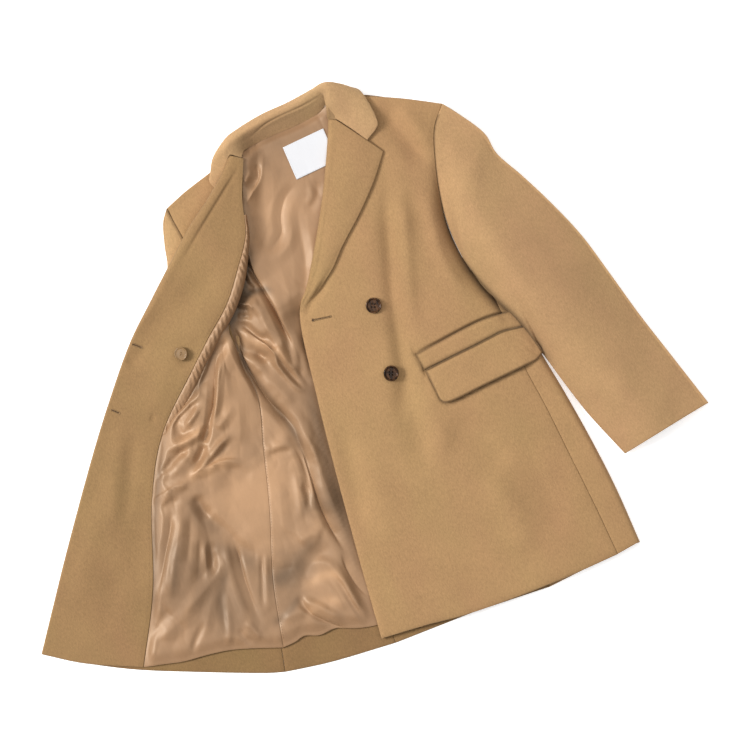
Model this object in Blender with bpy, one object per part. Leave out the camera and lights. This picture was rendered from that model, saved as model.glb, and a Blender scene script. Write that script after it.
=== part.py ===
"""A camel half coat lying open on its back on a flat surface.

The coat is drawn in millimetres in its own frame: x runs from the centre back towards the wearer's left,
y runs up from the hem to the collar, z runs up from the surface that the coat lies on.
The left front lies closed over the back. The right front is opened out, so that its facing shows.
"""

import math

import bmesh
import bpy
import numpy as np
from mathutils import Vector
from mathutils.bvhtree import BVHTree

# Cloth and seams, in millimetres
MM = 0.001
WOOL = 2.2
SATIN = 1.0
SEAM_GAP = 0.3
LAID_GAP = 0.5
SEWN_GAP = 0.4
STRETCH_GAP = 0.8
LAPEL_THICK = 3.6
FLAP_THICK = 3.4
COLLAR_THICK = 3.0
LABEL_THICK = 0.8

# Place of the coat's own zero point, so that the middle of its outline is the origin
COAT_PLACE = (90.0, -393.5, 0.0)

# Colours, linear red, green, blue
CAMEL = (0.474, 0.270, 0.127)
CAMEL_FACING = (0.440, 0.250, 0.115)
SATIN_COLOUR = (0.520, 0.290, 0.170)
HORN = (0.035, 0.018, 0.011)
CAMEL_BUTTON = (0.400, 0.220, 0.100)
LABEL_WHITE = (0.850, 0.850, 0.860)


# Curves, patches and heights


def spline(points, count):
    """Points on a smooth curve through the given points, evenly spaced or at given shares of its length."""
    p = np.array(points, float)
    share = np.linspace(0, 1, count) if np.isscalar(count) else np.array(count)
    if len(p) == 2:
        return p[0] + share[:, None] * (p[1] - p[0])
    knots = np.concatenate([[0], np.cumsum(np.sqrt(np.linalg.norm(np.diff(p, axis=0), axis=1)))])
    slopes = np.gradient(p, knots, axis=0)
    fine = np.linspace(0, knots[-1], 40 * len(p))
    k = np.clip(np.searchsorted(knots, fine, side="right") - 1, 0, len(p) - 2)
    width = (knots[k + 1] - knots[k])[:, None]
    t = (fine - knots[k])[:, None] / width
    dense = (
        (2 * t**3 - 3 * t**2 + 1) * p[k]
        + (t**3 - 2 * t**2 + t) * width * slopes[k]
        + (3 * t**2 - 2 * t**3) * p[k + 1]
        + (t**3 - t**2) * width * slopes[k + 1]
    )
    run = np.concatenate([[0], np.cumsum(np.linalg.norm(np.diff(dense, axis=0), axis=1))])
    return np.stack([np.interp(share * run[-1], run, dense[:, i]) for i in range(p.shape[1])], axis=1)


def patch(top, bottom, start, end, across=None):
    """Grid of plan points between four edge curves, rows from top to bottom, columns from start to end."""
    v = np.linspace(0, 1, len(start))[:, None, None]
    u = np.linspace(0, 1, len(top)) if across is None else np.array(across)
    u = u[None, :, None]
    sides = (1 - u) * start[:, None] + u * end[:, None]
    ends = (1 - v) * top[None] + v * bottom[None]
    corners = (1 - v) * ((1 - u) * top[0] + u * top[-1]) + v * ((1 - u) * bottom[0] + u * bottom[-1])
    return sides + ends - corners


def step(low, high, value):
    """0 below low, 1 above high, smooth between."""
    t = np.clip((value - low) / (high - low), 0, 1)
    return t * t * (3 - 2 * t)


def folds_at(folds, x, y):
    """Sum of the soft ridges and troughs of a fold table at the plan points x, y."""
    total = np.zeros(np.shape(x))
    for x0, y0, x1, y1, half_width, height in folds:
        length = math.hypot(x1 - x0, y1 - y0)
        along = ((x - x0) * (x1 - x0) + (y - y0) * (y1 - y0)) / length
        aside = ((x - x0) * (y1 - y0) - (y - y0) * (x1 - x0)) / length
        begins = step(-half_width, half_width, along)
        ends = 1 - step(length - half_width, length + half_width, along)
        total += height * begins * ends * np.exp(-((aside / half_width) ** 2))
    return total


def spread(table, rows, shares):
    """Heights for a grid from a short table: a row for each section, a column for each place across."""
    t = np.array(table, float)
    down = spline(np.column_stack([np.linspace(0, 100, len(t)), t]), rows)[:, 1:]
    across = np.linspace(0, 1, t.shape[1])
    return np.array([np.interp(shares, across, r) for r in down])


def raised(plan, height):
    """Plan grid with a height for each point."""
    z = np.broadcast_to(height, plan.shape[:2])
    return np.concatenate([plan, z[..., None]], axis=2)


# Solids


def material(name, colour, roughness):
    """One material with its own colour and roughness."""
    m = bpy.data.materials.new(name)
    m.use_nodes = True
    shader = m.node_tree.nodes["Principled BSDF"]
    shader.inputs["Base Color"].default_value = (*colour, 1.0)
    shader.inputs["Roughness"].default_value = roughness
    m.diffuse_color = (*colour, 1.0)
    return m


def solid(name, points, faces, look):
    """Closed body from points in millimetres."""
    mesh = bpy.data.meshes.new(name)
    mesh.from_pydata([tuple(MM * c for c in p) for p in points], [], faces)
    body = bmesh.new()
    body.from_mesh(mesh)
    bmesh.ops.recalc_face_normals(body, faces=body.faces)
    for face in body.faces:
        face.smooth = True
    body.to_mesh(mesh)
    body.free()
    mesh.materials.append(look)
    thing = bpy.data.objects.new(name, mesh)
    thing.parent = coat
    bpy.context.scene.collection.objects.link(thing)
    return thing


def inset(face, row_gap=SEAM_GAP):
    """Grid with its rim drawn in by half a seam gap."""
    f = face.copy()
    for edge, inner in ((0, 1), (-1, -2)):
        d = face[inner] - face[edge]
        f[edge] += row_gap / 2 * d / np.linalg.norm(d, axis=1)[:, None]
    for edge, inner in ((0, 1), (-1, -2)):
        d = face[:, inner] - face[:, edge]
        f[:, edge] += SEAM_GAP / 2 * d / np.linalg.norm(d, axis=1)[:, None]
    return f


def grid_faces(rows, columns, first=0):
    """Triangles of a grid of points, all cut along the same diagonal."""
    faces = []
    for r in range(rows - 1):
        for c in range(columns - 1):
            a = first + r * columns + c
            faces.append((a, a + 1, a + columns + 1))
            faces.append((a, a + columns + 1, a + columns))
    return faces


def wall(name, grid, thickness, look, grows="down", sides="upright", stretch=None):
    """Cloth wall: one side is the grid or a stretch of its rows, the other a thickness away."""
    face = inset(grid)
    normal = np.cross(np.gradient(face, axis=1), np.gradient(face, axis=0))
    if sides == "upright":
        normal[...] = (0, 0, -1)
    if sides == "level":
        for edge, inner in ((0, 1), (-1, -2)):
            normal[:, edge] = (face[:, inner] - face[:, edge]) * (1, 1, 0) * (1 if grows == "down" else -1)
    normal /= np.linalg.norm(normal, axis=2)[..., None]
    if stretch:
        face, normal = inset(grid[stretch], STRETCH_GAP), normal[stretch]
    back = face + (thickness if grows == "down" else -thickness) * normal
    rows, columns = face.shape[:2]
    count = rows * columns
    points = np.concatenate([face.reshape(-1, 3), back.reshape(-1, 3)])
    faces = grid_faces(rows, columns)
    faces += [tuple(reversed(f)) for f in grid_faces(rows, columns, count)]
    rim = [c for c in range(columns)]
    rim += [r * columns + columns - 1 for r in range(1, rows)]
    rim += [(rows - 1) * columns + c for c in range(columns - 2, -1, -1)]
    rim += [r * columns for r in range(rows - 2, 0, -1)]
    for a, b in zip(rim, rim[1:] + rim[:1]):
        faces.append((b, a, a + count, b + count))
    tops[name] = BVHTree.FromPolygons([Vector(p) for p in points], faces)
    return solid(name, points, faces, look)


def laid_on(names, plan, reach=3.0):
    """Height of the highest of the named walls about each plan point, or that of the nearest point."""
    z = np.full(plan.shape[:-1], -1.0)
    down = Vector((0, 0, -1))
    for i in np.ndindex(z.shape):
        for dx, dy in ((0, 0), (reach, 0), (-reach, 0), (0, reach), (0, -reach)):
            for name in names:
                hit = tops[name].ray_cast(Vector((plan[i][0] + dx, plan[i][1] + dy, 500.0)), down)
                if hit[0] is not None:
                    z[i] = max(z[i], hit[0].z)
    known = np.argwhere(z >= 0)
    for i in np.argwhere(z < 0):
        near = known[np.argmin(((known - i) ** 2).sum(axis=1))]
        z[tuple(i)] = z[tuple(near)]
    return z


for old in list(bpy.data.objects):
    bpy.data.objects.remove(old, do_unlink=True)

coat = bpy.data.objects.new("coat", None)
coat.location = [MM * c for c in COAT_PLACE]
bpy.context.scene.collection.objects.link(coat)
tops = {}


# Edge lines of the panels, plan points from the top down or from the wearer's right to left

LEFT_NECK_TO_SHOULDER = [(70, 765), (109, 751), (156, 731), (210, 703)]
LEFT_ROLL = [(52, 749), (39, 715), (12, 656), (-20, 595), (-66, 519)]
LEFT_EDGE = [(-84, 494), (-104, 364), (-124, 157), (-135, 10)]
LEFT_ARMHOLE = [(210, 703), (188, 675), (172, 628), (160, 568), (158, 520)]
LEFT_SIDE_SEAM = [(165, 470), (178, 400), (191, 307), (201, 245), (210, 165), (219, 85), (226, 8)]
LEFT_HEM = [(-135, 10), (-65, 6), (-12, 1), (74, 0), (159, 3), (226, 8)]
LEFT_FOLD = [(195, 452), (206, 400), (224, 304), (235, 247), (247, 173), (256, 101), (262, 13)]
BACK_ARMHOLE = [(208, 702), (184, 672), (167, 626), (154, 560), (150, 500)]
BACK_SEAM = [(150, 500), (140, 380), (128, 200), (118, -3)]
BACK_TOP_LEFT = [(0, 747), (40, 752), (75, 764), (208, 702)]
BACK_TOP_RIGHT = [(0, 747), (-40, 745), (-85, 743), (-145, 721), (-208, 699)]
RIGHT_SIDE_SEAM = [(-190, 450), (-186, 394), (-203, 326), (-225, 239), (-255, 143), (-282, 12)]
RIGHT_ROLL = [(-106, 743), (-155, 700), (-191, 664), (-242, 616)]
RIGHT_EDGE = [(-279, 582), (-330, 533), (-387, 464), (-431, 406), (-530, 265), (-603, 156)]
RIGHT_HEM = [(-603, 156), (-550, 123), (-488, 91), (-403, 56), (-303, 18), (-282, 12)]
FACING_LINE_HIGH = [(-85, 726), (-106, 674), (-120, 622), (-147, 580), (-179, 538)]
FACING_LINE_LOW = [(-223, 499), (-260, 464), (-332, 392), (-377, 310), (-420, 188), (-471, 88)]
LINING_HEM_FRONT = [(-471, 88), (-397, 75), (-344, 66), (-274, 46)]
LINING_SEAM = [(-192, 497), (-188, 440), (-186, 394), (-203, 326), (-225, 239), (-255, 143), (-274, 46)]

camel = material("wool_camel", CAMEL, 0.9)
camel_facing = material("wool_facing", CAMEL_FACING, 0.9)
satin = material("lining_satin", SATIN_COLOUR, 0.4)
horn = material("button_horn", HORN, 0.25)
camel_button = material("button_camel", CAMEL_BUTTON, 0.35)
label_white = material("label_white", LABEL_WHITE, 0.7)


# Left front: heights of its upper face, a row for each section from shoulder to hem

LEFT_FRONT_ROWS = 25
LEFT_FRONT_COLUMNS = 13
ROLL_ROOM = 8.0
LEFT_FRONT_HEIGHTS = [
    # front edge, inner third, outer third, side
    (17, 17, 17, 17),
    (21, 26, 28, 26),
    (18, 23, 26, 25),
    (16, 20, 23, 24),
    (15, 18, 19, 19),
    (14, 17, 18, 17),
    (13, 16, 17, 16),
    (12, 14.5, 16, 15),
    (11, 13, 14, 14),
]
LEFT_FRONT_FOLDS = [
    # x0, y0, x1, y1, half width, height
    (80, 582, 43, 425, 17, -3.0),
    (43, 425, 43, 264, 17, -3.0),
]

shares = np.linspace(0, 1, LEFT_FRONT_COLUMNS)
start = spline(LEFT_NECK_TO_SHOULDER[:1] + LEFT_ROLL + LEFT_EDGE, LEFT_FRONT_ROWS)
end = spline(LEFT_ARMHOLE + LEFT_SIDE_SEAM, LEFT_FRONT_ROWS)
rolled = 1 - step(470, 500, start[:, 1])
start += ((1 - rolled) * ROLL_ROOM)[:, None] * (end - start) / np.linalg.norm(end - start, axis=1)[:, None]
top = spline([start[0]] + LEFT_NECK_TO_SHOULDER[1:], shares)
left_front_plan = patch(top, spline(LEFT_HEM, shares), start, end)
height = spread(LEFT_FRONT_HEIGHTS, LEFT_FRONT_ROWS, shares)
height += folds_at(LEFT_FRONT_FOLDS, left_front_plan[..., 0], left_front_plan[..., 1])
left_front_grid = raised(left_front_plan, height)
wall("left_front", left_front_grid, WOOL, camel)


# Left side: from the back seam on the floor, round the fold and up to the front seam

SIDE_FLOOR_POINTS = 4
SIDE_ARC_POINTS = 7
SIDE_TOP_POINTS = 3

first_side_row = int(np.argmax(end[:, 1] < 472))
side_seam = left_front_grid[first_side_row:, -1]
side_rows = len(side_seam)
left_back_seam = spline(BACK_SEAM, side_rows)
left_fold = spline(LEFT_FOLD, side_rows)
sections = []
for seam_back, fold, seam_front in zip(left_back_seam, left_fold, side_seam):
    back_x, back_y = seam_back
    fold_x, fold_y = fold
    seam_x, seam_y, seam_z = seam_front
    radius = seam_z / 2
    floor_x = np.linspace(back_x, fold_x - radius, SIDE_FLOOR_POINTS)
    turn = np.linspace(-90, 90, SIDE_ARC_POINTS + 2)[1:-1] * math.pi / 180
    top_x = np.linspace(fold_x - radius, seam_x, SIDE_TOP_POINTS)
    floor_y = np.linspace(back_y, fold_y, SIDE_FLOOR_POINTS)
    top_y = np.linspace(fold_y, seam_y, SIDE_TOP_POINTS)
    section = [(x, y, 0.0) for x, y in zip(floor_x, floor_y)]
    section += [(fold_x - radius * (1 - math.cos(a)), fold_y, radius * (1 + math.sin(a))) for a in turn]
    section += [(x, y, seam_z) for x, y in zip(top_x, top_y)]
    sections.append(section)
wall("left_side", np.array(sections), WOOL, camel, "up", "normal")


# Back halves on the floor, lifted along the shoulders and over the fall of the collar

BACK_COLUMNS = 8
ARMHOLE_ROWS = 7
LEFT_SHOULDER_LIFT = 11.0
RIGHT_SHOULDER_LIFT = 6.0
SHOULDER_REACH = 65.0
NECK_LIFT = 5.0


def back_lift(x, y):
    """Height of the back's underside: it rises to the shoulder seams and over the fall of the collar."""
    below = np.where(x > 0, 757 - 0.257 * x, 758 + 0.28 * x) - y
    lift = np.where(x > 0, LEFT_SHOULDER_LIFT, RIGHT_SHOULDER_LIFT)
    shoulder = lift * (1 - step(0, SHOULDER_REACH, below)) * step(60, 130, np.abs(x))
    neck = NECK_LIFT * step(640, 728, y) * (1 - step(60, 130, np.abs(x)))
    return shoulder + neck


def back_half(name, mirror, seam, top_line):
    """One half of the back, from the centre back to its armhole and side seam."""
    armhole = spline(BACK_ARMHOLE, ARMHOLE_ROWS)[:-1] * (mirror, 1)
    armhole[0] = top_line[-1]
    outer = np.concatenate([armhole, seam])
    shares = np.linspace(0, 1, BACK_COLUMNS)
    top = spline(top_line, shares)
    centre_y = np.interp(outer[:, 1], (-3, top_line[-1][1]), (0, 747))
    centre = np.stack([np.zeros(len(outer)), centre_y], axis=1)
    bottom = spline([(0, 0), (118, -3)], shares) * (mirror, 1)
    plan = patch(top, bottom, centre, outer)
    if mirror < 0:
        plan = plan[:, ::-1]
    wall(name, raised(plan, back_lift(plan[..., 0], plan[..., 1])), WOOL, camel, "up")


RIGHT_SIDE_ROWS = 14
RIGHT_SIDE_COLUMNS = 6
right_back_seam = spline(BACK_SEAM, RIGHT_SIDE_ROWS) * (-1, 1)
right_side_seam = spline(RIGHT_SIDE_SEAM, RIGHT_SIDE_ROWS)
back_half("back_left", 1, left_back_seam, BACK_TOP_LEFT)
back_half("back_right", -1, right_back_seam, BACK_TOP_RIGHT)

side_top = spline([(-190, 450), (-168, 466), (-150, 500)], RIGHT_SIDE_COLUMNS)
side_hem = spline([(-282, 12), (-216, 3), (-118, -3)], RIGHT_SIDE_COLUMNS)
right_side_plan = patch(side_top, side_hem, right_side_seam, right_back_seam)
wall("right_side", raised(right_side_plan, 0.0), WOOL, camel, "up")


# Sleeves: an upper and an under half between their two folds

LEFT_SLEEVE_ROWS = 19
RIGHT_SLEEVE_ROWS = 11
SLEEVE_RIM_SHARES = (0.025, 0.08, 0.92, 0.975)


def sleeve(
    side, rows, armhole, cuff, right_edge, left_edge, table, under_lift, rounding, stretches, under_hole=None
):
    """Two-piece sleeve: plan from four edges, heights from a table with a row for each ring.

    The under sleeve is one cut, made as stretches between rows so that its collision stays close to it.
    """
    run = np.concatenate([[0], np.cumsum(np.linalg.norm(np.diff(armhole[:, :2], axis=0), axis=1))])
    run /= run[-1]
    shares = np.union1d(run, SLEEVE_RIM_SHARES)
    edge = np.stack([np.interp(shares, run, armhole[:, i]) for i in range(3)], axis=1)
    plan = patch(
        edge[:, :2], spline(cuff, shares), spline(left_edge, rows), spline(right_edge, rows), shares
    )
    plan[0] += SEAM_GAP * (plan[1] - plan[0]) / np.linalg.norm(plan[1] - plan[0], axis=1)[:, None]
    rings = spline(np.column_stack([np.linspace(0, 100, len(table)), table]), rows)[:, 1:]
    arch = (1 - np.abs(2 * shares - 1) ** rounding) ** (1 / rounding)
    middle = rings[:, 1:2] * (1 - shares) + rings[:, 2:3] * shares
    low = under_lift(plan[..., 0], plan[..., 1])
    middle = np.maximum(middle, low + 2 * WOOL)
    upper = middle + (np.maximum(rings[:, :1], middle + 1) - middle) * arch
    under = middle - (middle - low) * arch
    set_in = step(0.0, 0.04 + 0.13 * shares[None], np.linspace(0, 1, rows)[:, None])
    upper = upper * set_in + np.maximum(edge[:, 2], middle[0])[None] * (1 - set_in)
    upper = np.maximum(upper, middle)
    wall(side + "_top_sleeve", raised(plan, upper + SEAM_GAP / 2), WOOL, camel, "down", "level")
    if under_hole:
        right_line = spline(under_hole[-1:] + right_edge[1:], rows)
        left_line = spline(left_edge, rows)
        plan = patch(spline(under_hole, shares), spline(cuff, shares), left_line, right_line, shares)
    under_grid = raised(plan, np.maximum(under - SEAM_GAP / 2, 0))
    for name, first, last in stretches:
        wall(name, under_grid, WOOL, camel, "up", "level", slice(first, last + 1))


LEFT_SLEEVE_OUT_HIGH = [(228, 680), (253, 641), (259, 610), (282, 568), (305, 523)]
LEFT_SLEEVE_OUT_LOW = [(333, 459), (352, 396), (373, 322), (396, 251), (423, 168)]
LEFT_SLEEVE_IN = [(184, 417), (208, 365), (224, 312), (238, 264), (255, 212), (285, 140)]
LEFT_SLEEVE_RINGS = [
    # top of the ring, height of the inner fold, height of the outer fold
    (32, 17, 16),
    (41, 30, 13),
    (43, 30, 11),
    (42, 27, 10),
    (40, 25, 9),
    (36, 22, 9),
    (31, 15, 8),
    (27, 9, 8),
    (22, 8, 8),
]


LEFT_UNDER_STRETCHES = [
    # node, first row, last row
    ("left_under_sleeve", 0, 6),
    ("left_under_arm", 6, 11),
    ("left_under_forearm", 11, 15),
    ("left_under_cuff", 15, LEFT_SLEEVE_ROWS - 1),
]


def left_under_lift(x, y):
    """Underside of the left sleeve: over the side of the body, then down to the floor."""
    body_y = (13, 101, 173, 247, 304, 400, 452, 470, 520)
    body_x = (262, 256, 247, 235, 224, 206, 195, 180, 160)
    beyond = x - np.interp(y, body_y, body_x)
    side_height = np.interp(y, (13, 250, 300, 380, 450, 520), (14, 18, 22, 24, 25, 26))
    return (side_height + 1.5) * (1 - step(4, 36, beyond)) * (1 - step(455, 505, y)) * step(250, 285, y)


left_armhole = left_front_grid[:first_side_row, -1][::-1]
sleeve(
    "left",
    LEFT_SLEEVE_ROWS,
    left_armhole,
    [(285, 140), (380, 160), (423, 168)],
    [tuple(left_armhole[-1, :2])] + LEFT_SLEEVE_OUT_HIGH + LEFT_SLEEVE_OUT_LOW,
    [tuple(left_armhole[0, :2])] + LEFT_SLEEVE_IN,
    LEFT_SLEEVE_RINGS,
    left_under_lift,
    2.6,
    LEFT_UNDER_STRETCHES,
)

RIGHT_SLEEVE_OUT_HIGH = [(-214, 697), (-225, 682), (-235, 649), (-243, 615)]
RIGHT_SLEEVE_OUT_LOW = [(-285, 550), (-345, 465), (-420, 365), (-500, 262)]
RIGHT_SLEEVE_IN = [(-214, 470), (-245, 400), (-310, 300), (-385, 190)]
RIGHT_SLEEVE_RINGS = [
    # top of the ring, height of the outer fold, height of the inner fold
    (13, 8, 4.7),
    (13, 7, 4.7),
    (9.5, 5, 4.7),
    (7.5, 4.7, 4.7),
    (7, 4.7, 4.7),
    (7, 4.7, 4.7),
    (7, 4.7, 4.7),
]


def on_floor(x, y):
    """Underside of the right sleeve, all on the floor."""
    return np.zeros(np.shape(x))


RIGHT_ARMHOLE = [(-214, 697, 12), (-206, 648, 13), (-197, 590, 11), (-202, 530, 8), (-214, 470, 6)]
right_armhole = spline(RIGHT_ARMHOLE, 9)
sleeve(
    "right",
    RIGHT_SLEEVE_ROWS,
    right_armhole,
    [(-500, 262), (-385, 190)],
    RIGHT_SLEEVE_IN,
    RIGHT_SLEEVE_OUT_HIGH + RIGHT_SLEEVE_OUT_LOW,
    RIGHT_SLEEVE_RINGS,
    on_floor,
    8.0,
    [("right_under_sleeve", 0, RIGHT_SLEEVE_ROWS - 1)],
    [(-214, 697), (-192, 640), (-176, 560), (-178, 490), (-197, 446)],
)


# Right front, opened out over its sleeve: heights of its underside, a row for each section down to the hem

RIGHT_FRONT_HIGH_ROWS = 9
RIGHT_FRONT_COLUMNS = 11
RIGHT_TUCK = 5.0
RIGHT_FRONT_HEIGHTS = [
    # front edge, four places across, side seam
    (27, 27, 27, 27, 27, 27),
    (24, 26, 27, 28, 28, 28),
    (19, 22, 24, 26, 26, 26),
    (6, 10, 13, 14, 9, 1),
    (0, 3, 4, 3, 0, 0),
    (0, 0, 0, 0, 0, 0),
    (0, 0, 0, 0, 0, 0),
    (0, 0, 0, 0, 0, 0),
    (0, 0, 0, 0, 0, 0),
]
RIGHT_SLEEVE_AXIS = ((-205, 585), (-442, 226))
RIGHT_SLEEVE_HALF = 66.0
RIGHT_SLEEVE_OVER = 9.4


def over_right_sleeve(x, y):
    """Lift of the opened front where it lies over its sleeve."""
    (x0, y0), (x1, y1) = RIGHT_SLEEVE_AXIS
    length = math.hypot(x1 - x0, y1 - y0)
    along = ((x - x0) * (x1 - x0) + (y - y0) * (y1 - y0)) / length
    aside = ((x - x0) * (y1 - y0) - (y - y0) * (x1 - x0)) / length
    wide = 1 - step(RIGHT_SLEEVE_HALF + 8, RIGHT_SLEEVE_HALF + 42, np.abs(aside + 3))
    return RIGHT_SLEEVE_OVER * wide * (1 - step(length + 8, length + 60, along))


high = spline(FACING_LINE_HIGH + [(-190, 450)], RIGHT_FRONT_HIGH_ROWS)[:-1]
end = np.concatenate([high, right_side_seam])
right_rows = len(end)
edge = spline(RIGHT_ROLL + RIGHT_EDGE, right_rows)
inward = (end - edge) / np.linalg.norm(end - edge, axis=1)[:, None]
rolled = step(540, 590, edge[:, 1])[:, None]
start = edge + ROLL_ROOM * rolled * inward
end = end - RIGHT_TUCK * step(500, 540, end[:, 1])[:, None] * inward
shares = np.linspace(0, 1, RIGHT_FRONT_COLUMNS)
top = spline([start[0], end[0]], shares)
right_front_plan = patch(top, spline(RIGHT_HEM, shares), start, end)
height = spread(RIGHT_FRONT_HEIGHTS, right_rows, shares)
height = np.maximum(height, 0)
height = np.maximum(height, over_right_sleeve(right_front_plan[..., 0], right_front_plan[..., 1]))
wall("right_front", raised(right_front_plan, height), WOOL, camel, "up")


# The stretch of the right front at the shoulder that still lies outside up

SHOULDER_PATCH_HEIGHTS = [
    # armhole, middle, neck
    (11.5, 11.2, 11),
    (13, 13, 12.5),
    (12.5, 13, 12.5),
    (11.5, 12, 12),
]
shares = np.linspace(0, 1, 6)
armhole_edge = right_armhole[:4]
plan = patch(
    spline([(-214, 697), (-181, 711), (-145, 721), (-104, 731)], shares),
    spline([tuple(armhole_edge[-1, :2]), (-118, 645)], shares),
    armhole_edge[:, :2],
    spline([(-104, 731), (-100, 690), (-118, 645)], len(armhole_edge)),
)
height = spread(SHOULDER_PATCH_HEIGHTS, len(armhole_edge), shares)
height[:, 0] = armhole_edge[:, 2]
wall("right_front_shoulder", raised(plan, height), WOOL, camel)


# Right facing, inside up, rolled over along the turned lapel

FACING_HIGH_ROWS = 10
LINING_SEAM_ROWS = 20
FACING_SHARES = (0, 0.02, 0.06, 0.15, 0.33, 0.52, 0.72, 0.88, 1)
ROLL_DROPS = (9, 4, 1, 0, 0, 0, 0, 0, 0)
FACING_GAP = 1.4
CAP_TOP = 14.5

low_line = spline(FACING_LINE_LOW, LINING_SEAM_ROWS)
line = np.concatenate([spline(FACING_LINE_HIGH + FACING_LINE_LOW[:1], FACING_HIGH_ROWS)[:-1], low_line])
edge = spline(RIGHT_ROLL + RIGHT_EDGE, len(line))
facing_top = spline([edge[0], line[0]], FACING_SHARES)
facing_hem = spline([(-603, 156), (-550, 123), (-471, 88)], FACING_SHARES)
plan = patch(facing_top, facing_hem, edge, line, FACING_SHARES)
rolled = step(540, 590, edge[:, 1])[:, None]
height = laid_on(["right_front"], plan, 6.0) + FACING_GAP + WOOL
rest = np.where(plan[..., 1] > 590, CAP_TOP, 0) + WOOL + FACING_GAP
height -= np.minimum(rolled * np.array(ROLL_DROPS), height - rest)
right_facing_grid = raised(plan, height)
wall("right_facing", right_facing_grid, WOOL, camel_facing, "down", "normal")


# Puckered edge of the front lining, turned down along the facing

EDGE_STRIP = ((0.5, -0.6), (4.0, -1.0), (8.0, -3.5), (11.0, -7.0))
rows = [i for i in range(FACING_HIGH_ROWS) if 535 < line[i, 1] < 650]
lip = right_facing_grid[rows, -1]
run = np.gradient(lip[:, :2], axis=0)
out = np.stack([-run[:, 1], run[:, 0]], axis=1) / np.linalg.norm(run, axis=1)[:, None]
strip = np.array([[(*(p[:2] + d * o), p[2] + h) for d, h in EDGE_STRIP] for p, o in zip(lip, out)])
wall("right_lining_edge", strip, SATIN, satin, "down", "normal")


# Left facing under the front edge, and the lapel turned over its roll

LEFT_FACING_WIDTH = 95.0
LEFT_FACING_COLUMNS = 5
rows = [i for i in range(LEFT_FRONT_ROWS) if left_front_plan[i, 0, 1] < 488]
row_start = left_front_plan[rows, 0]
row_way = left_front_plan[rows, -1] - row_start
row_way /= np.linalg.norm(row_way, axis=1)[:, None]
across = np.linspace(0, LEFT_FACING_WIDTH, LEFT_FACING_COLUMNS)
plan = row_start[:, None] + across[None, :, None] * row_way[:, None]
height = laid_on(["left_front"], plan) - WOOL - 1.5 * SEWN_GAP
wall("left_facing", raised(plan, height), WOOL, camel_facing)

LAPEL_ROWS = 14
LAPEL_OUTER = [(108, 667), (90, 643), (48, 595), (0, 551), (-52, 511)]
LAPEL_LEG_POINTS = 7
LAPEL_ARC_POINTS = 5
ROLL_RADIUS = 7.0
LAPEL_UNDER = 22.0
roll = spline([(49, 740)] + LEFT_ROLL[1:] + [(-79, 499)], LAPEL_ROWS)
outer = spline(LAPEL_OUTER, LAPEL_ROWS)
run = np.gradient(roll, axis=0)
way = np.stack([-run[:, 1], run[:, 0]], axis=1) / np.linalg.norm(run, axis=1)[:, None]
leg = np.linspace(1, 0, LAPEL_LEG_POINTS)
plan = (roll + ROLL_RADIUS * way)[:, None] * (1 - leg)[None, :, None] + outer[:, None] * leg[None, :, None]
under_front = laid_on(["left_front"], plan)
sections = []
for i in range(LAPEL_ROWS):
    centre = under_front[i, -1] - WOOL / 2
    rest = under_front[i] + LAID_GAP + LAPEL_THICK
    puff = np.maximum(centre + ROLL_RADIUS - rest[-1], 0) * (1 - leg) ** 2
    section = [(*plan[i, j], rest[j] + puff[j]) for j in range(LAPEL_LEG_POINTS)]
    pivot = roll[i] + ROLL_RADIUS * way[i]
    for a in np.linspace(90, 270, LAPEL_ARC_POINTS + 2)[1:] * math.pi / 180:
        section.append((*(pivot + ROLL_RADIUS * math.cos(a) * way[i]), centre + ROLL_RADIUS * math.sin(a)))
    section.append((*(pivot + LAPEL_UNDER * way[i]), centre - ROLL_RADIUS))
    sections.append(section[::-1])
wall("left_lapel", np.array(sections), LAPEL_THICK, camel_facing, "down", "normal")


# Collar: a band from neck seam to edge, a row for each station from the wearer's right to left

COLLAR_ROWS = 27
COLLAR_COLUMNS = 14
COLLAR_STATIONS = [
    # neck seam, stand, inner side of the fold, and on the next line outer side of the fold, fall, edge
    (
        (-86.8, 729.2, 34), (-93.3, 734.6, 37), (-100.3, 740.6, 40),
        (-111, 745.5, 37), (-128, 735, 26), (-146, 709, 18),
    ),
    (
        (-81, 735, 28), (-87, 742, 33), (-94, 749, 37),
        (-110, 755, 32), (-128, 743, 22), (-142, 724, 17),
    ),
    (
        (-74, 738, 21), (-79, 747, 28), (-84, 756, 33),
        (-98, 763, 26), (-110, 753, 14), (-112, 741, 7),
    ),
    (
        (-62, 740, 14), (-65, 751, 22), (-68, 762, 28),
        (-78, 770, 19), (-84, 762, 5), (-84, 750, 0),
    ),
    (
        (-35, 743, 11.5), (-37, 755, 18), (-38, 768, 24),
        (-39, 778, 12), (-38, 766, 0), (-36, 745, 0),
    ),
    (
        (0, 745, 11.5), (0, 758, 18), (0, 770, 23),
        (0, 781, 12), (0, 768, 0), (0, 745, 0),
    ),
    (
        (36, 750, 12.5), (36, 763, 20), (37, 776, 26),
        (40, 787, 14), (42, 776, 0), (46, 756, 0),
    ),
    (
        (54, 758, 18), (51, 768, 25), (50, 779, 31),
        (57, 790, 21), (70, 781, 6), (76, 770, 1),
    ),
    (
        (70, 757, 25), (61, 765, 27), (53, 775, 34),
        (63, 786, 33), (84, 778, 22), (99, 766, 13),
    ),
    (
        (82, 752, 27), (66, 753, 27.5), (51, 755, 33),
        (57, 757, 40), (84, 752, 38), (110, 743, 34),
    ),
    (
        (86, 737, 27.5), (68, 742, 28), (49, 746, 33),
        (56, 746, 40), (84, 733, 38), (116, 712, 34),
    ),
    (
        (74, 726, 28), (61, 733, 28.5), (47, 741, 33),
        (54, 740, 39), (73, 719, 37), (93, 693, 34),
    ),
]
stations = np.array(COLLAR_STATIONS, float)
lines = np.stack([spline(stations[:, i], COLLAR_ROWS) for i in range(stations.shape[1])], axis=1)
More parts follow.
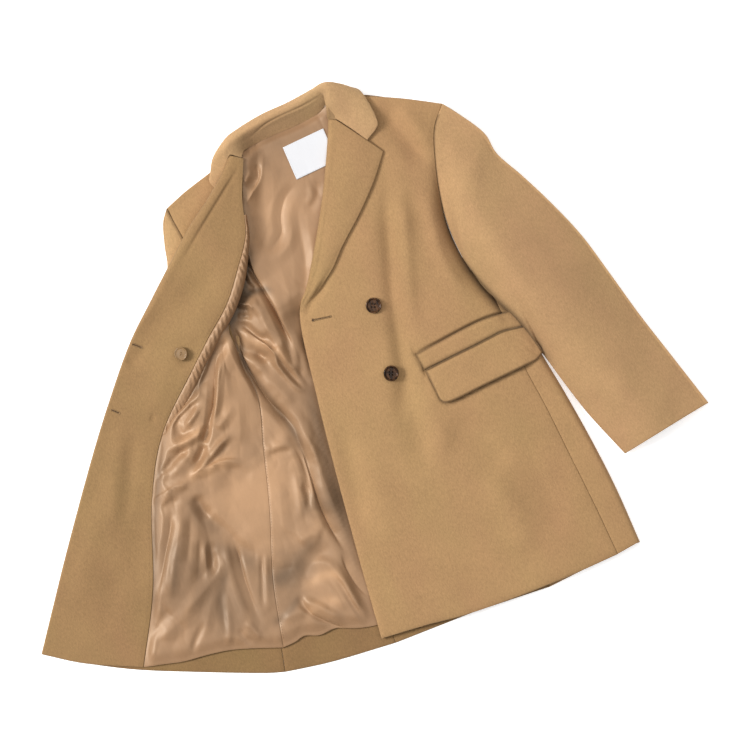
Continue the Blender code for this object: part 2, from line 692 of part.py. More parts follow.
collar_grid = np.array([spline(points, COLLAR_COLUMNS) for points in lines])
collar_grid[..., 2] = np.maximum(collar_grid[..., 2], 0)
wall("collar", collar_grid, COLLAR_THICK, camel, "down", "normal")


# Lining: lies on the body panels, with its largest folds as ridges and troughs

LINING_FOLDS = [
    # x0, y0, x1, y1, half width, height
    (-116, 600, -84, 440, 17, 8),
    (-160, 545, -118, 385, 25, 13),
    (-205, 470, -170, 330, 22, 6),
    (-70, 640, -40, 480, 20, 5),
    (-250, 380, -190, 260, 24, 4),
    (-300, 330, -240, 190, 26, 4),
    (-215, 110, -165, 240, 20, 5),
    (-160, 90, -130, 220, 18, 5),
    (-330, 190, -300, 90, 22, 3),
]
LINING_TOP = [(-82, 731), (-40, 737), (0, 739), (40, 744), (80, 752)]
LINING_START = [(-82, 731), (-106, 676), (-138, 612), (-176, 556), (-192, 497)]
LINING_END = [(80, 752), (140, 690), (142, 600), (135, 500), (140, 400), (152, 250), (172, 100), (186, 36)]
LINING_HEM_BACK = [(-274, 46), (-238, 48), (-190, 46), (-135, 34), (0, 30), (100, 30), (186, 36)]
LINING_HIGH_ROWS = 12
LINING_COLUMNS = 18

lining_seam = spline(LINING_SEAM, LINING_SEAM_ROWS)
lining_start = np.concatenate([spline(LINING_START, LINING_HIGH_ROWS)[:-1], lining_seam])

shares = np.linspace(0, 1, LINING_COLUMNS)
plan = patch(
    spline(LINING_TOP, shares),
    spline(LINING_HEM_BACK, shares),
    lining_start + np.stack([step(380, 420, lining_start[:, 1]), 0 * lining_start[:, 1]], axis=1),
    spline(LINING_END, len(lining_start)),
)
x, y = plan[..., 0], plan[..., 1]
free = 1 - step(-50, -5, x - np.interp(y, (10, 494, 595, 656, 749), (-135, -84, -20, 12, 52)))
height = laid_on(["back_left", "back_right", "right_side", "left_side"], plan) + LAID_GAP
height += np.maximum(folds_at(LINING_FOLDS, x, y), 0) * free * step(40, 75, y)
wall("back_lining", raised(plan, height), SATIN, satin, "up")

FRONT_LINING_COLUMNS = 11
shares = np.linspace(0, 1, FRONT_LINING_COLUMNS)
start = low_line
end = lining_seam
plan = patch(spline([start[0], end[0]], shares), spline(LINING_HEM_FRONT, shares), start, end)
x, y = plan[..., 0], plan[..., 1]
height = laid_on(["right_front", "right_side"], plan, 6.0) + FACING_GAP
height += np.maximum(folds_at(LINING_FOLDS, x, y), 0) * step(55, 100, y)
wall("right_front_lining", raised(plan, height), SATIN, satin, "up")

LABEL_CORNERS = ((-27, 722), (37, 728), (-24, 672), (40, 678))
shares = np.linspace(0, 1, 5)
a, b, c, d = LABEL_CORNERS
plan = patch(spline([a, b], shares), spline([c, d], shares), spline([a, c], 4), spline([b, d], 4))
height = laid_on(["back_lining"], plan) + LAID_GAP
wall("label", raised(plan, height), LABEL_THICK, label_white, "up")


# Pocket: welt band and flap on the left front

WELT_THICK = 1.8
shares = np.linspace(0, 1, 13)
plan = patch(
    spline([(51, 377), (125, 382), (196, 389)], shares),
    spline([(55, 352), (130, 356), (203, 365)], shares),
    spline([(51, 377), (55, 352)], 3),
    spline([(196, 389), (203, 365)], 3),
)
height = laid_on(["left_front", "left_side"], plan, 6.0) + SEWN_GAP
wall("left_welt", raised(plan, height), WELT_THICK, camel, "up")
plan = patch(
    spline([(57, 351), (132, 355), (205, 364)], shares),
    spline([(67, 307), (82, 300.5), (145, 304), (203, 309), (216, 317)], shares),
    spline([(57, 351), (62, 322), (67, 307)], 6),
    spline([(205, 364), (212, 335), (216, 317)], 6),
)
height = laid_on(["left_front", "left_side"], plan, 6.0) + SEWN_GAP
wall("left_flap", raised(plan, height), FLAP_THICK, camel, "up")


# Buttons: turned discs with a raised rim and a dished middle

BUTTON_SIDES = 20
BUTTON_PROFILE = (
    # share of the radius, share of the thickness
    (0.0, 0.0),
    (0.70, 0.0),
    (0.97, 0.32),
    (1.0, 0.55),
    (0.93, 0.92),
    (0.80, 1.0),
    (0.66, 0.82),
    (0.50, 0.74),
    (0.0, 0.74),
)


def button(name, place, radius, thickness, look, panel):
    """One button on the named panel."""
    base = float(laid_on([panel], np.array([[place]]))[0, 0]) + 0.4
    points = [(*place, base)]
    for share, high in BUTTON_PROFILE[1:-1]:
        for i in range(BUTTON_SIDES):
            a = 2 * math.pi * i / BUTTON_SIDES
            x = place[0] + share * radius * math.cos(a)
            y = place[1] + share * radius * math.sin(a)
            points.append((x, y, base + high * thickness))
    points.append((*place, base + BUTTON_PROFILE[-1][1] * thickness))
    rings = len(BUTTON_PROFILE) - 2
    faces = []
    for i in range(BUTTON_SIDES):
        j = (i + 1) % BUTTON_SIDES
        faces.append((0, 1 + j, 1 + i))
        for r in range(rings - 1):
            low = 1 + r * BUTTON_SIDES
            faces.append((low + i, low + j, low + BUTTON_SIDES + j, low + BUTTON_SIDES + i))
        last = 1 + (rings - 1) * BUTTON_SIDES
        faces.append((last + i, last + j, len(points) - 1))
    solid(name, points, faces, look)


button("button_upper", (18, 464), 11.5, 4.6, horn, "left_front")
button("button_lower", (8, 364), 11.5, 4.6, horn, "left_front")
button("inner_button", (-265, 493), 10.0, 4.0, camel_button, "right_facing")
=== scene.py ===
import math

import bmesh
import bpy
import numpy as np
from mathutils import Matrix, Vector
from mathutils.bvhtree import BVHTree


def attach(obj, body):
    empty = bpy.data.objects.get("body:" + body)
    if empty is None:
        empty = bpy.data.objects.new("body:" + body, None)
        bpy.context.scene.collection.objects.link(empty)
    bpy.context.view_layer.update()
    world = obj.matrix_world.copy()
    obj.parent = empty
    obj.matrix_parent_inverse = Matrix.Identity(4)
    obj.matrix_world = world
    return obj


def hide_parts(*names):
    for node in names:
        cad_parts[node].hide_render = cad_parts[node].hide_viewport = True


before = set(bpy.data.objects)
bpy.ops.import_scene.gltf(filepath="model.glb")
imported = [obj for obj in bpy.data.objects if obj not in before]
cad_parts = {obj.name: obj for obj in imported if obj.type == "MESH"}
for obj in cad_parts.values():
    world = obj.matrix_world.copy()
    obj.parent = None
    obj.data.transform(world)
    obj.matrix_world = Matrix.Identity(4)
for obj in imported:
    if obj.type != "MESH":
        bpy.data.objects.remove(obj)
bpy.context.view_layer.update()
print("frame loaded:", len(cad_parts), "nodes")

# The coat is drawn in millimetres: x from the centre back to the wearer's left, y up from the hem, z up.
coatFrame = {"place": (90.0, -393.5), "mm": 0.001}
# Where a point of the photograph lies on the coat, for creases and small details
photoView = {"mmPerPixel": 1.44, "pixel": (340, 380), "turn": 20, "coat": (-64, 380)}

cloth = {"wool": 2.2, "satin": 0.9, "lapel": 4.4, "flap": 4.2, "collar": 4.0, "label": 0.7, "gap": 0.5}


# Curves and panels


def ease(low, high, value):
    t = np.clip((np.asarray(value, float) - low) / (high - low), 0, 1)
    return t * t * (3 - 2 * t)


def curve(points, count):
    p = np.array(points, float)
    share = np.linspace(0, 1, count) if np.isscalar(count) else np.asarray(count, float)
    if len(p) == 2:
        return p[0] + share[:, None] * (p[1] - p[0])
    knots = np.concatenate([[0], np.cumsum(np.sqrt(np.linalg.norm(np.diff(p, axis=0), axis=1)))])
    slopes = np.gradient(p, knots, axis=0)
    fine = np.linspace(0, knots[-1], 60 * len(p))
    k = np.clip(np.searchsorted(knots, fine, side="right") - 1, 0, len(p) - 2)
    width = (knots[k + 1] - knots[k])[:, None]
    t = (fine - knots[k])[:, None] / width
    dense = (2 * t**3 - 3 * t**2 + 1) * p[k] + (3 * t**2 - 2 * t**3) * p[k + 1]
    dense += ((t**3 - 2 * t**2 + t) * slopes[k] + (t**3 - t**2) * slopes[k + 1]) * width
    run = np.concatenate([[0], np.cumsum(np.linalg.norm(np.diff(dense, axis=0), axis=1))])
    return np.stack([np.interp(share * run[-1], run, dense[:, i]) for i in range(p.shape[1])], axis=1)


def panel(top, bottom, start, end, across=None, down=None):
    v = (np.linspace(0, 1, len(start)) if down is None else np.asarray(down))[:, None, None]
    u = (np.linspace(0, 1, len(top)) if across is None else np.asarray(across))[None, :, None]
    sides = (1 - u) * start[:, None] + u * end[:, None]
    ends = (1 - v) * top[None] + v * bottom[None]
    corners = (1 - v) * ((1 - u) * top[0] + u * top[-1]) + v * ((1 - u) * bottom[0] + u * bottom[-1])
    return sides + ends - corners


def raised(plan, height):
    return np.concatenate([plan, np.broadcast_to(height, plan.shape[:2])[..., None]], axis=2)


def onCoat(pixels):
    p = np.array(pixels, float)
    dx = (p[..., 0] - photoView["pixel"][0]) * photoView["mmPerPixel"]
    dy = (photoView["pixel"][1] - p[..., 1]) * photoView["mmPerPixel"]
    c, s = math.cos(math.radians(photoView["turn"])), math.sin(math.radians(photoView["turn"]))
    x = dx * c + dy * s + photoView["coat"][0]
    y = dy * c - dx * s + photoView["coat"][1]
    return np.stack([x, y], axis=-1)


def softNoise(x, y, size, seed):
    cells, shift = 97, 40
    lattice = np.random.default_rng(seed).uniform(-1, 1, (cells, cells))
    u, v = np.asarray(x) / size + shift, np.asarray(y) / size + shift
    i, j = np.floor(u).astype(int), np.floor(v).astype(int)
    s, t = ease(0, 1, u - i), ease(0, 1, v - j)
    i, j, k, m = i % cells, j % cells, (i + 1) % cells, (j + 1) % cells
    a, b, c, d = lattice[i, j], lattice[k, j], lattice[i, m], lattice[k, m]
    return (a * (1 - s) + b * s) * (1 - t) + (c * (1 - s) + d * s) * t


def uneven(places, amount, size, seed):
    return amount * softNoise(places[..., 0], places[..., 1], size, seed)


def nearestOnLine(line, places):
    # distance to a line of points, side of it (left is positive),
    # share of the line's length, and way from the line
    x, y = places[..., 0], places[..., 1]
    best = np.full(np.shape(x), 1e9)
    side, share = np.zeros(np.shape(x)), np.zeros(np.shape(x))
    away = np.zeros((*np.shape(x), 2))
    run = np.concatenate([[0], np.cumsum(np.linalg.norm(np.diff(line, axis=0), axis=1))])
    for k in range(len(line) - 1):
        ax, ay = line[k]
        dx, dy = line[k + 1] - line[k]
        length = math.hypot(dx, dy) + 1e-9
        t = np.clip(((x - ax) * dx + (y - ay) * dy) / length**2, 0, 1)
        ox, oy = x - ax - t * dx, y - ay - t * dy
        d = np.hypot(ox, oy)
        closer = d < best
        best = np.where(closer, d, best)
        side = np.where(closer, np.sign(dx * oy - dy * ox), side)
        share = np.where(closer, (run[k] + t * length) / run[-1], share)
        away = np.where(closer[..., None], np.stack([ox, oy], axis=-1), away)
    return best, side, share, away / (best[..., None] + 1e-9)


def creaseField(table, places, crisp=False):
    # each row: pixels along the crease, width to its left, width to its right, height
    x, y = places[..., 0], places[..., 1]
    total = np.zeros(np.shape(x))
    for pixels, leftWidth, rightWidth, height in table:
        line = curve(onCoat(pixels), 5 * len(pixels))
        reach = 2.4 * max(leftWidth, rightWidth)
        near = (x > line[:, 0].min() - reach) & (x < line[:, 0].max() + reach)
        near &= (y > line[:, 1].min() - reach) & (y < line[:, 1].max() + reach)
        if not near.any():
            continue
        distance, side, share, _ = nearestOnLine(line, places[near])
        width = np.where(side > 0, leftWidth, rightWidth)
        fade = ease(-0.02, 0.28, share) * (1 - ease(0.72, 1.02, share))
        if crisp:
            form = np.clip(1 - (np.sqrt(distance**2 + 0.8) - 0.9) / (1.75 * width), 0, 1) ** 1.2
        else:
            form = np.exp(-((distance / width) ** 2))
        total[near] += height * fade * form
    return total


def blurred(z, times):
    for _ in range(times):
        p = np.pad(z, 1, mode="edge")
        z = (p[:-2, 1:-1] + p[2:, 1:-1] + p[1:-1, :-2] + p[1:-1, 2:] + 2 * p[1:-1, 1:-1]) / 6
    return z


# Heights read from the frame's own solids, and from pieces already laid

solidTrees = {}
gridTrees = {}


def solidTree(name):
    if name not in solidTrees:
        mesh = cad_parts[name].data
        points = np.empty(3 * len(mesh.vertices))
        mesh.vertices.foreach_get("co", points)
        points = points.reshape(-1, 3) / coatFrame["mm"] - (*coatFrame["place"], 0)
        solidTrees[name] = BVHTree.FromPolygons(points.tolist(), [tuple(f.vertices) for f in mesh.polygons])
    return solidTrees[name]


def restHeight(names, plan, smooth=0, fill=True):
    # upper face of the named solids or pieces under each plan point, or of the nearest point with one
    above, mostSteps = 300, 400
    z = np.full(plan.shape[:-1], -1.0)
    down = Vector((0, 0, -1))
    trees = [gridTrees[n] if n in gridTrees else solidTree(n) for n in names]
    for i in np.ndindex(z.shape):
        start = Vector((plan[i][0], plan[i][1], above))
        for tree in trees:
            hit = tree.ray_cast(start, down)[0]
            if hit is not None and hit.z > z[i]:
                z[i] = hit.z
    for _ in range(mostSteps):
        if not fill or (z >= 0).all():
            break
        p = np.pad(z, 1, mode="edge")
        around = np.stack([p[:-2, 1:-1], p[2:, 1:-1], p[1:-1, :-2], p[1:-1, 2:]])
        known = around >= 0
        mean = np.where(known, around, 0).sum(0) / np.maximum(known.sum(0), 1)
        z = np.where((z < 0) & known.any(0), mean, z)
    return blurred(z, smooth)


# Cloth walls with round edges


def build(name, points, faces, look, slot, nodes=()):
    mesh = bpy.data.meshes.new(name)
    scaled = (np.asarray(points) + (*coatFrame["place"], 0)) * coatFrame["mm"]
    scaled[:, 2] = np.maximum(scaled[:, 2], 0)
    mesh.from_pydata(scaled.tolist(), [], faces)
    body = bmesh.new()
    body.from_mesh(mesh)
    bmesh.ops.recalc_face_normals(body, faces=body.faces)
    body.to_mesh(mesh)
    body.free()
    mesh.shade_smooth()
    mesh.materials.append(look)
    piece = bpy.data.objects.new(name, mesh)
    bpy.context.scene.collection.objects.link(piece)
    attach(piece, "root")
    if nodes:
        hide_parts(*nodes)
    return piece


def gridFaces(rows, columns):
    r, c = np.meshgrid(np.arange(rows - 1), np.arange(columns - 1), indexing="ij")
    a = (r * columns + c).ravel()
    return np.stack([a, a + columns, a + columns + 1, a + 1], axis=1)


def rimOf(rows, columns):
    rim = list(range(columns)) + [r * columns + columns - 1 for r in range(1, rows)]
    rim += [(rows - 1) * columns + c for c in range(columns - 2, -1, -1)]
    rim += [r * columns for r in range(rows - 2, 0, -1)]
    return np.array(rim)


def wallParts(grid, thick, grows, upright):
    g = np.array(grid, float)
    rows, columns = g.shape[:2]
    radius = np.broadcast_to(np.reshape(thick, (-1, 1, 1)) / 2.0, (rows, columns, 1))
    normal = np.cross(np.gradient(g, axis=0), np.gradient(g, axis=1))
    if upright:
        normal[...] = (0, 0, 1)
    normal /= np.linalg.norm(normal, axis=2)[..., None] + 1e-12
    outward = np.zeros_like(g)
    for edge, inner in ((0, 1), (-1, -2)):
        d = g[edge] - g[inner]
        length = np.linalg.norm(d, axis=1)[:, None] + 1e-12
        outward[edge] += d / length * np.minimum(radius[edge], 0.6 * length)
        d = g[:, edge] - g[:, inner]
        length = np.linalg.norm(d, axis=1)[:, None] + 1e-12
        outward[:, edge] += d / length * np.minimum(radius[:, edge], 0.6 * length)
    centre = g - outward + normal * (radius if grows == "up" else -radius)
    top, bottom = centre + normal * radius, centre - normal * radius
    rim = rimOf(rows, columns)
    flat = [a.reshape(-1, 3) for a in (centre, outward, normal * radius)]
    loops = []
    for turn in (45, 90, 135):
        s, c = math.sin(math.radians(turn)), math.cos(math.radians(turn))
        loops.append(flat[0][rim] + s * flat[1][rim] + c * flat[2][rim])
    count = rows * columns
    points = np.concatenate([top.reshape(-1, 3), bottom.reshape(-1, 3), *loops])
    points[:, 2] = np.maximum(points[:, 2], 0)
    faces = [gridFaces(rows, columns), gridFaces(rows, columns)[:, ::-1] + count]
    rings = [rim, *(2 * count + k * len(rim) + np.arange(len(rim)) for k in range(3)), rim + count]
    for a, b in zip(rings, rings[1:]):
        faces.append(np.stack([a, np.roll(a, -1), np.roll(b, -1), b], axis=1))
    return points, np.concatenate(faces)


def clothWall(
    name, grid, thick, look, slot, nodes=(), grows="down", upright=False,
    paintedShadeAndSheen=None,
):
    points, faces = wallParts(grid, thick, grows, upright)
    piece = build(name, points, faces.tolist(), look, slot, nodes)
    if paintedShadeAndSheen is not None:
        # painted shade above 0, in the depth of a seam or fold; painted sheen below 0, where the cloth lies
        # paler
        shade = np.clip(np.broadcast_to(paintedShadeAndSheen, grid.shape[:2]), -1, 1).ravel()
        rim = shade[rimOf(*grid.shape[:2])]
        values = piece.data.attributes.new("paintedShadeAndSheen", "FLOAT", "POINT")
        values.data.foreach_set("value", np.concatenate([shade, shade, rim, rim, rim]).astype(np.float32))
    gridTrees[name] = BVHTree.FromPolygons(points.tolist(), faces.tolist())
    return piece


def tubeMesh(paths, radius, sides=6):
    # joined small tubes, closed at both ends
    points, faces = [], []
    for path in paths:
        p = np.array(path, float)
        way = np.gradient(p, axis=0)
        way /= np.linalg.norm(way, axis=1)[:, None] + 1e-12
        aside = np.cross(way, (0.13, 0.21, 0.97))
        aside /= np.linalg.norm(aside, axis=1)[:, None] + 1e-12
        up = np.cross(aside, way)
        first = len(points)
        for k in range(len(p)):
            r = radius * (0.75 if k in (0, len(p) - 1) else 1)
            for i in range(sides):
                a = 2 * math.pi * i / sides
                points.append(p[k] + r * (math.cos(a) * aside[k] + math.sin(a) * up[k]))
        for k in range(len(p) - 1):
            for i in range(sides):
                a, b = first + k * sides + i, first + k * sides + (i + 1) % sides
                faces.append((a, b, b + sides, a + sides))
        faces.append(tuple(first + i for i in range(sides)))
        faces.append(tuple(first + (len(p) - 1) * sides + i for i in reversed(range(sides))))
    return points, faces


# Materials


def nodeGroup(name, **inputs):
    # inputs are colours where they have four numbers, and amounts where they have one
    group = bpy.data.node_groups.new(name, "ShaderNodeTree")
    for label, value in inputs.items():
        kind = "NodeSocketColor" if isinstance(value, tuple) else "NodeSocketFloat"
        socket = group.interface.new_socket(label, in_out="INPUT", socket_type=kind)
        socket.default_value = value
    for label, kind in (("Colour", "Color"), ("Roughness", "Float"), ("Height", "Float")):
        group.interface.new_socket(label, in_out="OUTPUT", socket_type="NodeSocket" + kind)
    return group, group.nodes.new("NodeGroupInput"), group.nodes.new("NodeGroupOutput")


def noiseNode(tree, place, scale, detail, roughness=0.55):
    node = tree.nodes.new("ShaderNodeTexNoise")
    node.inputs["Scale"].default_value = scale
    node.inputs["Detail"].default_value = detail
    node.inputs["Roughness"].default_value = roughness
    tree.links.new(place, node.inputs["Vector"])
    return node


def stretched(tree, place, scale, turn):
    node = tree.nodes.new("ShaderNodeMapping")
    node.inputs["Scale"].default_value = scale
    node.inputs["Rotation"].default_value = (0, 0, turn)
    tree.links.new(place, node.inputs["Vector"])
    return node.outputs[0]


def mathNode(tree, operation, a, b=None, c=None, clamp=False):
    node = tree.nodes.new("ShaderNodeMath")
    node.operation = operation
    node.use_clamp = clamp
    for socket, value in zip(node.inputs, (a, b, c)):
        if value is None:
            continue
        if isinstance(value, (int, float)):
            socket.default_value = value
        else:
            tree.links.new(value, socket)
    return node.outputs[0]


def paintedShadeAndSheenLevel(tree):
    # the colour is darkened by the painted shade and lightened by the painted sheen in the mesh attribute
    deepest = 0.72
    paintedShadeAndSheen = tree.nodes.new("ShaderNodeAttribute")
    paintedShadeAndSheen.attribute_name = "paintedShadeAndSheen"
    return mathNode(tree, "MULTIPLY_ADD", paintedShadeAndSheen.outputs["Fac"], -deepest, 1.0)


def aroundZero(tree, noise, amount):
    return mathNode(tree, "MULTIPLY", mathNode(tree, "SUBTRACT", noise.outputs["Fac"], 0.5), amount)


def napGroup():
    # brushed wool: short fibres, flecks and a soft unevenness of the dye
    group, start, end = nodeGroup("brushedNap", Colour=(0.5, 0.3, 0.15, 1), Fleck=0.3, Mottle=0.2)
    place = group.nodes.new("ShaderNodeTexCoord").outputs["Object"]
    lay = stretched(group, place, (1.0, 0.45, 1.0), 0.2)
    fibre = noiseNode(group, lay, 1500, 4, 0.65)
    fleck = noiseNode(group, lay, 520, 3, 0.6)
    cloud = noiseNode(group, place, 17, 4)
    tuft = noiseNode(group, place, 210, 3, 0.6)
    drift = noiseNode(group, lay, 13, 2)
    shade = aroundZero(group, fleck, start.outputs["Fleck"])
    fine = aroundZero(group, fibre, start.outputs["Fleck"])
    broad = aroundZero(group, cloud, start.outputs["Mottle"])
    value = mathNode(group, "ADD", mathNode(group, "ADD", shade, fine), mathNode(group, "ADD", broad, 1.0))
    # painted shade in seams and folds, read from the mesh attribute
    value = mathNode(group, "MULTIPLY", value, paintedShadeAndSheenLevel(group))
    hue = mathNode(group, "MULTIPLY_ADD", drift.outputs["Fac"], 0.022, 0.489)
    tint = group.nodes.new("ShaderNodeHueSaturation")
    group.links.new(start.outputs["Colour"], tint.inputs["Color"])
    group.links.new(value, tint.inputs["Value"])
    group.links.new(hue, tint.inputs["Hue"])
    group.links.new(tint.outputs[0], end.inputs["Colour"])
    rough = mathNode(group, "MULTIPLY_ADD", fleck.outputs["Fac"], 0.2, 0.78)
    group.links.new(rough, end.inputs["Roughness"])
    height = mathNode(group, "MULTIPLY_ADD", fibre.outputs["Fac"], 0.5, tuft.outputs["Fac"])
    group.links.new(mathNode(group, "ADD", height, fleck.outputs["Fac"]), end.inputs["Height"])
    return group


# painted sheen where the gain is above 0 and painted shade where it is below 0: pixel, radius in pixels,
# gain
satinBlooms = [
    ((240, 498), 58, 0.42), ((282, 478), 44, 0.30), ((262, 540), 36, 0.25), ((312, 538), 30, 0.22),
    ((322, 584), 44, 0.20), ((243, 408), 52, 0.26), ((292, 582), 44, -0.34), ((206, 590), 62, -0.30),
    ((164, 556), 50, -0.16), ((276, 212), 62, 0.26), ((296, 282), 52, 0.20), ((268, 140), 40, -0.24),
    ((326, 500), 36, -0.34), ((316, 140), 36, -0.20), ((244, 620), 44, -0.22), ((196, 436), 44, 0.14),
]


def paintedSheenAndShadeField(group, place):
    # painted sheen and painted shade in smooth places, with wandering edges
    moved = group.nodes.new("ShaderNodeVectorMath")
    moved.operation = "MULTIPLY_ADD"
    moved.inputs[1].default_value = (0.07, 0.07, 0)
    group.links.new(noiseNode(group, place, 26, 3).outputs["Color"], moved.inputs[0])
    group.links.new(place, moved.inputs[2])
    close = 0.0
    for pixel, radius, gain in satinBlooms:
        apart = group.nodes.new("ShaderNodeVectorMath")
        apart.operation = "DISTANCE"
        at = (onCoat(pixel) + coatFrame["place"]) * coatFrame["mm"] + 0.035
        apart.inputs[1].default_value = (*at, 0.012)
        group.links.new(moved.outputs[0], apart.inputs[0])
        soft = group.nodes.new("ShaderNodeMapRange")
        soft.interpolation_type = "SMOOTHSTEP"
        soft.inputs["From Max"].default_value = radius * photoView["mmPerPixel"] * coatFrame["mm"]
        soft.inputs["To Min"].default_value = gain
        soft.inputs["To Max"].default_value = 0
        group.links.new(apart.outputs["Value"], soft.inputs["Value"])
        close = mathNode(group, "ADD", soft.outputs[0], close)
    return close


def weaveGroup():
    # fine weave of satin and tape: threads both ways, and slubs, with painted sheen and painted shade
    group, start, end = nodeGroup(
        "fineWeave", Colour=(0.5, 0.3, 0.2, 1), Threads=2400.0, Slub=0.1, Bloom=0.0
    )
    place = group.nodes.new("ShaderNodeTexCoord").outputs["Object"]
    split = group.nodes.new("ShaderNodeSeparateXYZ")
    group.links.new(place, split.inputs[0])
    sidewaysY = mathNode(group, "MULTIPLY", split.outputs["Y"], 0.36)
    sidewaysX = mathNode(group, "MULTIPLY", split.outputs["X"], 0.36)
    along = mathNode(group, "ADD", split.outputs["X"], sidewaysY)
    across = mathNode(group, "SUBTRACT", split.outputs["Y"], sidewaysX)
    weft = mathNode(group, "SINE", mathNode(group, "MULTIPLY", along, start.outputs["Threads"]))
    warp = mathNode(group, "SINE", mathNode(group, "MULTIPLY", across, start.outputs["Threads"]))
    slub = noiseNode(group, stretched(group, place, (1, 0.06, 1), 0.35), 420, 2)
    streak = aroundZero(group, slub, start.outputs["Slub"])
    broad = aroundZero(group, noiseNode(group, place, 11, 3), 0.1)
    paintedSheenAndShadeValue = mathNode(group, "MULTIPLY", paintedSheenAndShadeField(group, place), start.outputs["Bloom"])
    value = mathNode(group, "ADD", mathNode(group, "ADD", streak, broad), mathNode(group, "ADD", paintedSheenAndShadeValue, 1.0))
    # painted shade and painted sheen from the mesh attribute
    value = mathNode(group, "MULTIPLY", value, paintedShadeAndSheenLevel(group))
    tint = group.nodes.new("ShaderNodeHueSaturation")
    group.links.new(start.outputs["Colour"], tint.inputs["Color"])
    group.links.new(value, tint.inputs["Value"])
    group.links.new(tint.outputs[0], end.inputs["Colour"])
    rough = mathNode(group, "MULTIPLY_ADD", slub.outputs["Fac"], 0.10, 0.42)
    group.links.new(rough, end.inputs["Roughness"])
    weft = mathNode(group, "MULTIPLY", weft, 0.3)
    warp = mathNode(group, "MULTIPLY", warp, 0.3)
    height = mathNode(group, "ADD", mathNode(group, "ADD", weft, warp), slub.outputs["Fac"])
    group.links.new(height, end.inputs["Height"])
    return group


def newMaterial(name):
    look = bpy.data.materials.new(name)
    look.use_nodes = True
    return look, look.node_tree, look.node_tree.nodes["Principled BSDF"]


def fabricLook(name, group, finish, colour="colour"):
    # the group gives colour, roughness and height, the shader keeps its own plain values
    look, tree, shader = newMaterial(name)
    part = tree.nodes.new("ShaderNodeGroup")
    part.node_tree = group
    part.inputs["Colour"].default_value = (*finish[colour], 1)
    for label, value in finish["values"].items():
        part.inputs[label].default_value = value
    relief = tree.nodes.new("ShaderNodeBump")
    relief.inputs["Strength"].default_value, relief.inputs["Distance"].default_value = finish["bump"]
    tree.links.new(part.outputs["Height"], relief.inputs["Height"])
    tree.links.new(relief.outputs[0], shader.inputs["Normal"])
    tree.links.new(part.outputs["Colour"], shader.inputs["Base Color"])
    tree.links.new(part.outputs["Roughness"], shader.inputs["Roughness"])
    for label, value in finish["plain"].items():
        shader.inputs[label].default_value = value
    return look


woolFinish = {
    "colour": (0.360, 0.2125, 0.0975),
    # copies of the same wool with painted light: painted highlight, lighter, on the sleeve and collar, and
    # painted shade, darker, on the facing, lapel and inside
    "sleeve": (0.412, 0.250, 0.119),
    "facing": (0.276, 0.164, 0.073),
    "collar": (0.440, 0.270, 0.133),
    "lapel": (0.332, 0.198, 0.090),
    "inside": (0.230, 0.135, 0.058),
    "values": {"Fleck": 0.55, "Mottle": 0.26},
    "bump": (0.35, 0.0006),
    "plain": {
        "Sheen Weight": 0.14,
        "Sheen Roughness": 0.45,
        "Sheen Tint": (1.0, 0.86, 0.68, 1),
        "Specular IOR Level": 0.15,
    },
}
satinFinish = {
    "colour": (0.298, 0.169, 0.087),
    "values": {"Threads": 5200.0, "Slub": 0.14, "Bloom": 1.0},
    "bump": (0.05, 0.0003),
    "plain": {"Specular IOR Level": 0.48, "IOR": 1.62, "Specular Tint": (1.0, 0.83, 0.65, 1)},
}
labelFinish = {
    "colour": (0.66, 0.66, 0.675),
    "values": {"Threads": 4200.0, "Slub": 0.05},
    "bump": (0.12, 0.0003),
    "plain": {"Specular IOR Level": 0.3, "Sheen Weight": 0.1},
}

nap, weave = napGroup(), weaveGroup()
wool = fabricLook("woolCamel", nap, woolFinish)
# lighter and darker copies of the wool: painted highlight and painted shade
woolFacingPaintedShade = fabricLook("woolFacingPaintedShade", nap, woolFinish, "facing")
woolCollarPaintedHighlight = fabricLook("woolCollarPaintedHighlight", nap, woolFinish, "collar")
woolSleevePaintedHighlight = fabricLook("woolSleevePaintedHighlight", nap, woolFinish, "sleeve")
woolLapelPaintedShade = fabricLook("woolLapelPaintedShade", nap, woolFinish, "lapel")
woolInsidePaintedShade = fabricLook("woolInsidePaintedShade", nap, woolFinish, "inside")
satin = fabricLook("liningSatin", weave, satinFinish)
labelTape = fabricLook("labelTape", weave, labelFinish)
print("materials made")


# Edge lines of the panels, from the top down or from the wearer's right to left

